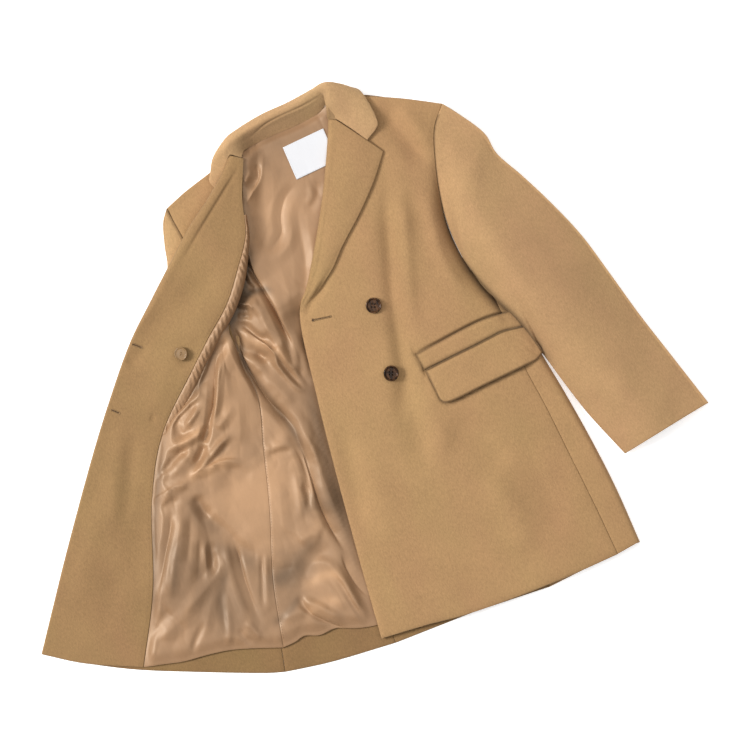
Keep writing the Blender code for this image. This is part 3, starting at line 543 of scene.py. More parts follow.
edges = {
    "leftShoulder": [(70, 765), (109, 751), (156, 731), (210, 703)],
    "leftRoll": [(52, 749), (39, 715), (12, 656), (-20, 595), (-66, 519)],
    "leftEdge": [(-84, 494), (-104, 364), (-124, 157), (-135, 10)],
    "leftArmhole": [(210, 703), (188, 675), (172, 628), (160, 568), (158, 520)],
    "leftSideSeam": [
        (165, 470), (175, 444), (184, 419), (187, 393), (192, 307),
        (201, 245), (210, 165), (219, 85), (226, 8),
    ],
    # where the sleeve meets the front, then lies on the side
    "sleeveContact": [
        (188, 675), (172, 628), (160, 568), (158, 520), (165, 470),
        (173, 445), (184, 417), (208, 365), (226, 308),
    ],
    "leftHem": [(-135, 10), (-65, 6), (-12, 1), (74, 0), (159, 3), (226, 8)],
    "leftFold": [(195, 452), (206, 400), (224, 304), (235, 247), (247, 173), (256, 101), (262, 13)],
    "backArmhole": [(208, 702), (184, 672), (167, 626), (154, 560), (150, 500)],
    "backSeam": [(150, 500), (140, 380), (128, 200), (118, -3)],
    "backTopLeft": [(0, 747), (40, 752), (75, 764), (208, 702)],
    "backTopRight": [(0, 747), (-40, 745), (-85, 743), (-145, 721), (-208, 699)],
    "rightSideSeam": [(-190, 450), (-186, 394), (-203, 326), (-225, 239), (-255, 143), (-282, 12)],
    "rightRoll": [(-104, 738), (-117, 722), (-139, 702), (-158, 686), (-192, 661), (-242, 616)],
    "rightEdge": [(-279, 582), (-330, 533), (-387, 464), (-431, 406), (-530, 265), (-603, 156)],
    "rightHem": [(-603, 156), (-550, 123), (-488, 91), (-403, 56), (-303, 18), (-282, 12)],
    "facingHigh": [(-85, 726), (-106, 674), (-120, 622), (-147, 580), (-179, 538)],
    "facingLow": [(-223, 499), (-260, 464), (-332, 392), (-377, 310), (-420, 188), (-471, 88)],
    "liningSeam": [(-192, 497), (-188, 440), (-186, 394), (-203, 326), (-225, 239), (-255, 143), (-274, 46)],
}


# narrow valley on both sides of the sleeve's contact
sleeveValley = {
    "depth": 15.0,
    "reach": 8.0,
    # shares of the contact's length over which it deepens, and over which it loses half its depth
    "deepens": (0.06, 0.42),
    "eases": (0.8, 1),
}


def contactDip(places):
    distance, _, share, _ = nearestOnLine(curve(edges["sleeveContact"], 60), places)
    fade = ease(*sleeveValley["deepens"], share) * (1 - 0.5 * ease(*sleeveValley["eases"], share))
    return sleeveValley["depth"] * fade * np.exp(-((distance / sleeveValley["reach"]) ** 1.3))


def seamDip(grid, sides, depth=0.9, reach=4.5):
    # cloth sinks a little towards a sewn edge
    rows, columns = grid.shape[:2]
    z = np.zeros((rows, columns))
    lengths = {
        "top": np.linalg.norm(grid - grid[:1], axis=2),
        "bottom": np.linalg.norm(grid - grid[-1:], axis=2),
        "start": np.linalg.norm(grid - grid[:, :1], axis=2),
        "end": np.linalg.norm(grid - grid[:, -1:], axis=2),
    }
    for side in sides:
        z = np.maximum(z, depth * np.exp(-((lengths[side] / reach) ** 2)))
    return z


# outline of the pocket, in the coat's own sizes
pocketLines = {
    "weltTop": [(51, 377), (90, 382.8), (129, 388.6), (159, 391.4), (201, 389.5)],
    "weltFoot": [(55, 352), (96, 356.6), (137, 361), (160, 364), (180, 366), (209, 362.5)],
    "weltStart": [(51, 377), (55, 352)],
    "weltEnd": [(201, 389.5), (209, 362.5)],
    "flapTop": [(56, 351.5), (96, 356.6), (137, 361.2), (160, 364.3), (180, 366.4), (213, 362.6)],
    "flapFoot": [(61.5, 305), (66, 298.5), (74, 296.5), (130, 302), (190, 308), (213, 311), (223, 318)],
    "flapStart": [(56, 351.5), (59, 326), (61.5, 305)],
    "flapEnd": [(213, 362.6), (219, 338), (223, 318)],
}


def paintedShadeNear(lines, places, reach):
    # painted shade that falls off from each line
    shade = np.zeros(places.shape[:-1])
    for line in lines:
        distance = nearestOnLine(curve(line, 60), places)[0]
        shade = np.maximum(shade, np.exp(-((distance / reach) ** 2)))
    return shade


# Left front

leftFront = {
    # shares where the grid's spacing changes, and the count of rows or columns in each stretch
    "rows": ((0, 0.44, 84), (0.44, 0.57, 84), (0.57, 1, 84)),
    "columns": ((0, 0.53, 46), (0.53, 0.565, 10), (0.565, 1, 44)),
    "rollRoom": 8,
    "rollFoot": (494, 512),
    "underarm": 472,
    # blur of the height read from the solid
    "smooth": 24,
    # amount, size and seed of the cloth's unevenness
    "uneven": (0.5, 46, 3),
    # painted shade for each millimetre of a contact's depth, and round the pocket
    "contactShade": 0.055,
    "pocketShade": 0.72,
    "depth": 1.7,
    "pocketSeams": [
        ([(408, 361), (415, 355), (440, 341.5), (483, 319.5), (512, 310.5), (534, 304)], 2.6, 1.8, -6.0),
        ([(411, 343), (415.5, 354.5), (424, 370.5), (427, 380)], 2.2, 1.8, -4.6),
        ([(416, 376), (425, 370.5), (499, 334.5), (530, 322)], 1.6, 1.6, -3.2),
    ],
    "sheet": (0.372, 0.775, 0.205),
    "creases": [
        # long trough beside the lapel and the buttons, with a ridge to its right
        ([(386, 168), (388, 215), (391, 255), (394, 300), (400, 345), (404, 385), (398, 430)], 12, 12, -3.9),
        ([(402, 186), (405, 240), (409, 290), (415, 330)], 11, 22, 2.6),
        # soft dents from the collar's corner towards the chest
        ([(378, 104), (392, 120), (410, 142), (428, 168)], 12, 18, -4.2),
        ([(396, 106), (416, 128), (432, 150)], 14, 14, 1.6),
        ([(398, 196), (420, 214), (436, 240)], 16, 18, -1.8),
        # hollow where the sleeve lies on the front
        ([(424, 186), (432, 226), (442, 258), (458, 284), (478, 302)], 9, 12, 2.2),
        ([(404, 360), (410, 400), (420, 440), (428, 480)], 14, 24, -3.2),
        ([(426, 380), (436, 420), (448, 460)], 16, 22, 2.0),
        ([(448, 418), (480, 436), (510, 470)], 20, 26, -2.4),
        ([(520, 440), (540, 480), (570, 530)], 20, 22, -1.8),
        ([(490, 470), (512, 510), (536, 552)], 20, 20, 2.2),
        ([(372, 440), (380, 500), (396, 560)], 24, 24, 1.8),
        ([(344, 420), (352, 470), (366, 540)], 14, 18, -2.0),
        # foot of the lapel's roll
        ([(303, 318), (309, 308), (317, 296), (330, 280)], 6, 5, -2.6),
    ],
}
down = np.concatenate([[0], *(np.linspace(a, b, n + 1)[1:] for a, b, n in leftFront["rows"])])
shares = np.concatenate([[0], *(np.linspace(a, b, n + 1)[1:] for a, b, n in leftFront["columns"])])
start = curve(edges["leftShoulder"][:1] + edges["leftRoll"] + edges["leftEdge"], down)
end = curve(edges["leftArmhole"] + edges["leftSideSeam"], down)
rolled = 1 - ease(*leftFront["rollFoot"], start[:, 1])
way = (end - start) / np.linalg.norm(end - start, axis=1)[:, None]
start = start + ((1 - rolled) * leftFront["rollRoom"])[:, None] * way
top = curve([tuple(start[0])] + edges["leftShoulder"][1:], shares)
plan = panel(top, curve(edges["leftHem"], shares), start, end, shares, down)
height = restHeight(["left_front"], plan, leftFront["smooth"])
height += leftFront["depth"] * creaseField(leftFront["creases"], plan)
height += creaseField(leftFront["pocketSeams"], plan)
height += uneven(plan, *leftFront["uneven"])
height -= contactDip(plan)
leftFrontGrid = raised(plan, height)
leftFrontGrid[..., 2] -= seamDip(leftFrontGrid, ("top", "end"))
leftFrontGrid[..., 2] -= seamDip(leftFrontGrid, ("start", "bottom"), 1.5, 3.6)
# painted shade round the pocket's outline and along the sleeve's contact
outline = [pocketLines[name] for name in ("weltTop", "weltFoot", "weltStart", "flapStart", "flapFoot")]
paintedShadeAndSheen = leftFront["pocketShade"] * paintedShadeNear(outline, plan, 2.2)
paintedShadeAndSheen += leftFront["contactShade"] * contactDip(plan)
clothWall(
    "leftFront", leftFrontGrid, cloth["wool"], wool, "wool_camel", ["left_front"],
    upright=True, paintedShadeAndSheen=paintedShadeAndSheen,
)
armholeRows = int(np.argmax(end[:, 1] < leftFront["underarm"]))
print("left front laid")


# Left side, round its fold

leftSide = {"floor": 12, "arc": 17, "top": 10, "puff": 0.4, "sheet": (0.182, 0.51, 0.069)}
seam = leftFrontGrid[armholeRows:, -1]
backSeamLeft = curve(edges["backSeam"], len(seam))
fold = curve(edges["leftFold"], len(seam))
sections = []
for back, turnAt, front in zip(backSeamLeft, fold, seam):
    radius = front[2] / 2
    turn = np.radians(np.linspace(-90, 90, leftSide["arc"] + 2)[1:-1])
    floorX = np.linspace(back[0], turnAt[0] - radius, leftSide["floor"])
    floorY = np.linspace(back[1], turnAt[1], leftSide["floor"])
    topX = np.linspace(turnAt[0] - radius, front[0], leftSide["top"])
    topY = np.linspace(turnAt[1], front[1], leftSide["top"])
    section = [(x, y, 0) for x, y in zip(floorX, floorY)]
    section += [
        (turnAt[0] - radius + radius * math.cos(a), turnAt[1], radius * (1 + math.sin(a))) for a in turn
    ]
    puff = leftSide["puff"] * np.sin(math.pi * np.arange(leftSide["top"]) / (leftSide["top"] - 1))
    section += list(zip(topX, topY, front[2] + puff))
    sections.append(section)
leftSideGrid = np.array(sections)
# painted shade along the sleeve's contact
clothWall(
    "leftSide", leftSideGrid, cloth["wool"], wool, "wool_camel", ["left_side"],
    grows="up",
    paintedShadeAndSheen=leftFront["contactShade"] * contactDip(leftSideGrid),
)


# Back halves and right side, flat on the floor

back = {
    "columns": 24,
    "armholeRows": 26,
    "seamRows": 80,
    "neck": 747,
    "hem": [(0, 0), (118, -3)],
    "smooth": 3,
    "seamDip": 0.7,
    "sheet": (0.212, 0.77, 0.111),
}
rightSide = {
    "rows": 80,
    "columns": 26,
    "top": [(-190, 450), (-168, 466), (-150, 500)],
    "hem": [(-282, 12), (-216, 3), (-118, -3)],
    "sheet": (0.17, 0.51, 0.048),
}


def backHalf(name, node, mirror, topLine):
    armhole = curve(edges["backArmhole"], back["armholeRows"])[:-1] * (mirror, 1)
    armhole[0] = topLine[-1]
    outer = np.concatenate([armhole, curve(edges["backSeam"], back["seamRows"]) * (mirror, 1)])
    shares = np.linspace(0, 1, back["columns"])
    hemY = [y for _, y in back["hem"]]
    centreY = np.interp(outer[:, 1], (hemY[1], topLine[-1][1]), (hemY[0], back["neck"]))
    centre = np.stack([np.zeros(len(outer)), centreY], axis=1)
    plan = panel(curve(topLine, shares), curve(back["hem"], shares) * (mirror, 1), centre, outer)
    if mirror < 0:
        plan = plan[:, ::-1]
    height = restHeight([node], plan, back["smooth"])
    grid = raised(plan, height)
    grid[..., 2] -= seamDip(grid, ("start", "end"), back["seamDip"])
    clothWall(
        name, grid, cloth["wool"], woolInsidePaintedShade, "wool_camel", [node], upright=True
    )


backHalf("backLeft", "back_left", 1, edges["backTopLeft"])
backHalf("backRight", "back_right", -1, edges["backTopRight"])
plan = panel(
    curve(rightSide["top"], rightSide["columns"]), curve(rightSide["hem"], rightSide["columns"]),
    curve(edges["rightSideSeam"], rightSide["rows"]),
    curve(edges["backSeam"], rightSide["rows"]) * (-1, 1),
)
grid = raised(plan, cloth["wool"])
grid[..., 2] -= seamDip(grid, ("start", "end"), back["seamDip"])
clothWall(
    "rightSide", grid, cloth["wool"], woolInsidePaintedShade, "wool_camel", ["right_side"],
    upright=True,
)
print("back and sides laid")


# Sleeves

sleeveShape = {
    # amount, size and seed of the cloth's unevenness
    "uneven": (0.7, 40, 8),
    # half the parting between top and under sleeve at their folds
    "parting": 0.15,
    # share of the length over which the top sleeve leaves the armhole: at its start, and more at its end
    "setIn": (0.03, 0.13),
    # painted shade along the inner edge, its reach, and the heights on the coat where it starts and is full
    "shade": 0.85,
    "shadeReach": 12.0,
    "shadeEnds": (285, 330),
    # clearance over the body, where it ends towards the armhole, and how far it is spread and blurred
    "clear": 2.0,
    "clearEnds": (470, 515),
    "spread": 6,
    "smooth": 8,
}
leftSleeve = {
    "contact": 1.0,
    # share across where the sleeve is highest, and how it rises to it and falls from it
    "crest": 0.44,
    "rise": 1.7,
    "fall": 2.6,
    "rows": 150,
    "columns": 54,
    "outer": [
        (228, 680), (253, 641), (259, 610), (282, 568), (305, 523),
        (333, 459), (352, 396), (373, 322), (396, 251), (423, 168),
    ],
    "inner": [(173, 445), (184, 417), (208, 365), (224, 312), (238, 264), (255, 212), (285, 140)],
    "cuff": [(285, 140), (380, 160), (423, 168)],
    # top of the ring, height of the inner fold, height of the outer fold
    "rings": [
        (33, 15, 18), (44, 15, 17), (49.5, 13, 15), (50, 12, 14), (48.5, 12, 13),
        (44, 11, 12), (38, 10, 11), (31, 9, 10), (25, 8, 9),
    ],
    "sheet": (0.24, 0.60, 0.082),
    "underNodes": ["left_under_sleeve", "left_under_arm", "left_under_forearm", "left_under_cuff"],
    "creases": [
        ([(500, 190), (540, 225), (575, 270)], 22, 24, -3.0),
        ([(540, 296), (580, 335), (616, 360)], 32, 34, -2.4),
        ([(480, 215), (500, 260), (530, 310), (560, 360)], 20, 15, 3.6),
        ([(494, 156), (502, 166), (514, 175)], 7, 8, -5.0),
        ([(505, 172), (530, 190), (556, 214)], 12, 12, 2.2),
        ([(600, 380), (640, 400), (680, 410)], 22, 22, 2.8),
        ([(588, 392), (606, 420), (622, 440)], 14, 14, -3.0),
        ([(444, 120), (452, 150), (452, 186)], 10, 12, 2.4),
    ],
}
rightSleeve = {
    "crest": 0.5,
    "rise": 8,
    "fall": 8,
    "contact": 0.0,
    "rows": 70,
    "columns": 34,
    "outer": [
        (-214, 697), (-225, 682), (-235, 649), (-243, 615),
        (-285, 550), (-345, 465), (-420, 365), (-500, 262),
    ],
    "inner": [(-214, 470), (-245, 400), (-310, 300), (-385, 190)],
    "cuff": [(-500, 262), (-385, 190)],
    # top of the ring, height of the outer fold, height of the inner fold
    "rings": [(13, 8, 4.7), (13, 7, 4.7), (9.5, 5, 4.7), (7.5, 4.7, 4.7)] + 3 * [(7, 4.7, 4.7)],
    "armhole": [(-214, 697, 12), (-206, 648, 13), (-197, 590, 11), (-202, 530, 8), (-214, 470, 6)],
    "underHole": [(-214, 697), (-192, 640), (-176, 560), (-178, 490), (-197, 446)],
    "sheet": (0.23, 0.53, 0.059),
    "underNodes": ["right_under_sleeve"],
    "creases": [],
}


def sleeveLift(plan):
    # underside of the left sleeve, over the side of the body and then down to the floor
    body = restHeight(["leftSide", "leftFront"], plan, 0, False)
    low = np.where(body > 0, body + sleeveShape["clear"], 0)
    low = low * (1 - ease(*sleeveShape["clearEnds"], plan[..., 1]))
    for _ in range(sleeveShape["spread"]):
        wide = np.pad(low, 1, mode="edge")
        low = np.max([low, wide[:-2, 1:-1], wide[2:, 1:-1], wide[1:-1, :-2], wide[1:-1, 2:]], axis=0)
    return blurred(low, sleeveShape["smooth"])


def sleeveHalves(side, spec, armhole, rightEdge, leftEdge, lift, underHole=None):
    def contactShade(grid):
        shade = seamDip(grid, ("start",), sleeveShape["shade"], sleeveShape["shadeReach"])
        return shade * ease(*sleeveShape["shadeEnds"], grid[..., 1]) * spec["contact"]

    rows = spec["rows"]
    shares = (1 - np.cos(np.linspace(0, math.pi, spec["columns"]))) / 2
    edge = curve(armhole, shares)
    cuff, leftLine = curve(spec["cuff"], shares), curve(leftEdge, rows)
    plan = panel(edge[:, :2], cuff, leftLine, curve(rightEdge, rows), shares)
    table = np.array(spec["rings"], float)
    rings = curve(np.column_stack([np.linspace(0, 100, len(table)), table]), rows)[:, 1:]
    rising = np.clip(1 - shares / spec["crest"], 0, 1)
    falling = np.clip((shares - spec["crest"]) / (1 - spec["crest"]), 0, 1)
    arch = 1 - rising ** spec["rise"] - 0.5 * (falling ** spec["fall"] + ease(0, 1, falling))
    middle = rings[:, 1:2] * (1 - shares) + rings[:, 2:3] * shares
    low = lift(plan)
    middle = np.maximum(middle, low + 2 * cloth["wool"])
    upper = middle + (np.maximum(rings[:, :1], middle + 1) - middle) * arch
    under = middle - (middle - low) * arch
    first, added = sleeveShape["setIn"]
    setIn = ease(0, 1, np.linspace(0, 1, rows)[:, None] / (first + added * shares[None]))
    upper = upper * setIn + np.maximum(edge[:, 2], middle[0])[None] * (1 - setIn)
    upper = np.maximum(upper, middle)
    folds = creaseField(spec["creases"], plan) + uneven(plan, *sleeveShape["uneven"])
    upper = upper + folds * arch * ease(0, 0.1, np.linspace(0, 1, rows))[:, None]
    grid = raised(plan, upper + sleeveShape["parting"])
    grid[..., 2] -= seamDip(grid, ("top",), 1.0, 4.0)
    # painted shade at the armhole seam and along the inner edge where the sleeve lies on the body
    clothWall(
        side + "TopSleeve", grid, cloth["wool"], woolSleevePaintedHighlight, "wool_camel", [side + "_top_sleeve"],
        paintedShadeAndSheen=np.maximum(seamDip(grid, ("top",), 0.55, 2.2), contactShade(grid)),
    )
    if underHole:
        rightLine = curve(underHole[-1:] + rightEdge[1:], rows)
        plan = panel(curve(underHole, shares), cuff, leftLine, rightLine, shares)
    grid = raised(plan, np.maximum(under - sleeveShape["parting"], 0))
    # painted shade along the inner edge
    clothWall(
        side + "UnderSleeve", grid, cloth["wool"], woolSleevePaintedHighlight, "wool_camel", spec["underNodes"],
        grows="up", paintedShadeAndSheen=contactShade(grid),
    )


armhole = leftFrontGrid[:armholeRows, -1][::-1]
sleeveHalves(
    "left", leftSleeve, armhole,
    [tuple(armhole[-1, :2])] + leftSleeve["outer"], [tuple(armhole[0, :2])] + leftSleeve["inner"],
    sleeveLift,
)
sleeveHalves(
    "right", rightSleeve, rightSleeve["armhole"], rightSleeve["inner"], rightSleeve["outer"],
    lambda plan: np.zeros(plan.shape[:2]), rightSleeve["underHole"],
)
print("sleeves laid")


# Right facing, rolled over along the turned lapel

rightFacing = {
    "highRows": 60,
    "lowRows": 150,
    "columns": 66,
    "turn": 14,
    # height on the coat where the roll begins and where it is full
    "rollEnds": (540, 590),
    # the solid's own roll reaches this far in from the edge
    "solidRoll": 17,
    "smooth": 12,
    "uneven": (0.5, 40, 12),
    "hem": [(-603, 156), (-550, 123), (-471, 88)],
    "rollRadius": 9,
    "edgeRadius": 3.4,
    # the edge turns from here under the cloth up to its crown, in degrees
    "turnFrom": -70,
    "sheet": (0.19, 0.78, 0.080),
    "creases": [
        # pressed line beside the roll
        ([(243, 162), (222, 196), (200, 232), (180, 266)], 3.4, 2.4, -2.0),
        ([(236, 168), (214, 203), (192, 238)], 7, 6, 1.6),
        # the roll flattens out in soft hollows
        ([(214, 262), (198, 290), (180, 308), (158, 326), (140, 342)], 20, 24, -6.0),
        ([(252, 232), (240, 268), (229, 303), (210, 339), (193, 372), (176, 402)], 12, 32, 6.5),
        ([(150, 340), (140, 355), (126, 366)], 10, 13, -3.6),
        ([(176, 330), (166, 372), (152, 420)], 18, 20, 3.0),
        ([(204, 330), (196, 352), (184, 376)], 10, 12, -2.6),
        ([(134, 430), (130, 480), (124, 530)], 10, 14, -2.2),
        ([(122, 420), (118, 470), (110, 540)], 12, 12, 1.8),
        ([(152, 470), (142, 530), (134, 600)], 22, 26, -3.2),
        ([(98, 500), (86, 560), (72, 620)], 18, 20, 2.2),
        ([(120, 560), (112, 600), (104, 640)], 16, 18, -2.0),
        ([(150, 417), (153, 418), (157, 420)], 4, 4, -2.2),
    ],
}
lowLine = curve(edges["facingLow"], rightFacing["lowRows"])
highLine = curve(edges["facingHigh"] + edges["facingLow"][:1], rightFacing["highRows"] + 1)[:-1]
line = np.concatenate([highLine, lowLine])
edge = curve(edges["rightRoll"] + edges["rightEdge"], len(line))
shares = np.linspace(0, 1, rightFacing["columns"])
plan = panel(
    curve([edge[0], line[0]], shares), curve(rightFacing["hem"], shares), edge, line, shares
)
height = restHeight(["right_facing"], plan, 0)
fromEdge = np.linalg.norm(plan - plan[:, :1], axis=2)
for r in range(len(line)):
    safe = np.argmax(fromEdge[r] > rightFacing["solidRoll"])
    height[r, :safe] = height[r, safe]
height = blurred(height, rightFacing["smooth"])
height += creaseField(rightFacing["creases"], plan)
height += uneven(plan, *rightFacing["uneven"])
flatGrid = raised(plan, height)
flatGrid[..., 2] -= seamDip(flatGrid, ("end",), 0.8, 4)
# its edge turns under, in a wide roll along the lapel and closely along the front edge
rolled = ease(*rightFacing["rollEnds"], edge[:, 1])
turns = np.radians(np.linspace(rightFacing["turnFrom"], 90, rightFacing["turn"])[:-1])
sections = []
for r in range(len(line)):
    inward = (plan[r, 4] - plan[r, 0]) / np.linalg.norm(plan[r, 4] - plan[r, 0])
    radius = rightFacing["rollRadius"] * rolled[r] + rightFacing["edgeRadius"] * (1 - rolled[r])
    crown = np.interp(radius, fromEdge[r], flatGrid[r, :, 2])
    radius = min(radius, 0.5 * crown - 0.1)
    reach = np.linspace(radius, fromEdge[r, -1], rightFacing["columns"])
    flat = [np.interp(reach, fromEdge[r], flatGrid[r, :, i]) for i in range(3)]
    pivot = plan[r, 0] + radius * inward
    section = [
        (*(pivot - radius * math.cos(a) * inward), crown - radius + radius * math.sin(a)) for a in turns
    ]
    sections.append(section + list(zip(*flat)))
rightFacingGrid = np.array(sections)
clothWall(
    "rightFacing", rightFacingGrid, cloth["wool"], woolFacingPaintedShade, "wool_facing", ["right_facing"],
)


# Right front, opened out over its sleeve, and the stretch at its shoulder

rightFront = {
    "highRows": 44,
    "seamRows": 80,
    "columns": 60,
    "tuck": 5,
    # heights on the coat where it starts to tuck under the facing and is tucked fully
    "tuckEnds": (500, 540),
    "clear": 0.8,
    "edgeRoom": 4.5,
    "rollRoom": 6,
    "smooth": 8,
    "sheet": (0.37, 0.77, 0.150),
}
high = curve(edges["facingHigh"] + [(-190, 450)], rightFront["highRows"])[:-1]
end = np.concatenate([high, curve(edges["rightSideSeam"], rightFront["seamRows"])])
edge = curve(edges["rightRoll"] + edges["rightEdge"], len(end))
inward = (end - edge) / np.linalg.norm(end - edge, axis=1)[:, None]
room = rightFront["edgeRoom"] + rightFront["rollRoom"] * ease(*rightFacing["rollEnds"], edge[:, 1])
start = edge + room[:, None] * inward
end = end - rightFront["tuck"] * ease(*rightFront["tuckEnds"], end[:, 1])[:, None] * inward
shares = np.linspace(0, 1, rightFront["columns"])
plan = panel(curve([start[0], end[0]], shares), curve(edges["rightHem"], shares), start, end)
height = restHeight(["right_front"], plan, rightFront["smooth"])
over = restHeight(["rightFacing"], plan, 0, False)
height = np.where(over > 0, np.minimum(height, over - cloth["wool"] - rightFront["clear"]), height)
grid = raised(plan, np.maximum(blurred(height, 2), cloth["wool"]))
grid[..., 2] -= seamDip(grid, ("start", "bottom"), 0.7, 3)
clothWall(
    "rightFront", grid, cloth["wool"], woolInsidePaintedShade, "wool_camel", ["right_front"],
    upright=True,
)

rightShoulder = {
    "rows": 26,
    "columns": 30,
    # height at the collar, shares across where it rises to it, and its reach from the seam
    "neck": 26,
    "neckShares": (0.74, 0.98),
    "neckReach": (10, 60),
    # over this far from the shoulder seam it rises from the back
    "seamReach": 24,
    "top": [(-214, 697), (-181, 710.5), (-145, 722), (-104, 735), (-91, 739)],
    "front": [(-91, 739), (-94, 695), (-114, 645)],
    "sheet": (0.115, 0.12, 0.0094),
}
armhole = curve(rightSleeve["armhole"], 9)[:4, :2]
armhole = curve(armhole, rightShoulder["rows"])
shares = np.linspace(0, 1, rightShoulder["columns"])
plan = panel(
    curve(rightShoulder["top"], shares),
    curve([tuple(armhole[-1]), rightShoulder["front"][-1]], shares),
    armhole,
    curve(rightShoulder["front"], rightShoulder["rows"]),
)
height = restHeight(["right_front_shoulder"], plan, 4)
# sewn down to the back along the shoulder, and up to the collar at the neck
fromSeam = np.linalg.norm(plan - plan[:1], axis=2)
atSeam = 1 - ease(0, rightShoulder["seamReach"], fromSeam)
seamHeight = blurred(restHeight(["backRight"], plan), 4) + cloth["wool"] + 0.3
height = height * (1 - atSeam) + seamHeight * atSeam
atNeck = ease(*rightShoulder["neckShares"], shares)[None]
atNeck = atNeck * (1 - ease(*rightShoulder["neckReach"], fromSeam))
grid = raised(plan, height + atNeck * np.maximum(rightShoulder["neck"] - height, 0))
grid[..., 2] -= seamDip(grid, ("start",), 0.9, 4)
clothWall(
    "rightFrontShoulder", grid, cloth["wool"], wool, "wool_camel", ["right_front_shoulder"],
    upright=True,
)
print("right front and facing laid")


# Lining: one field of folds for the back and the front lining

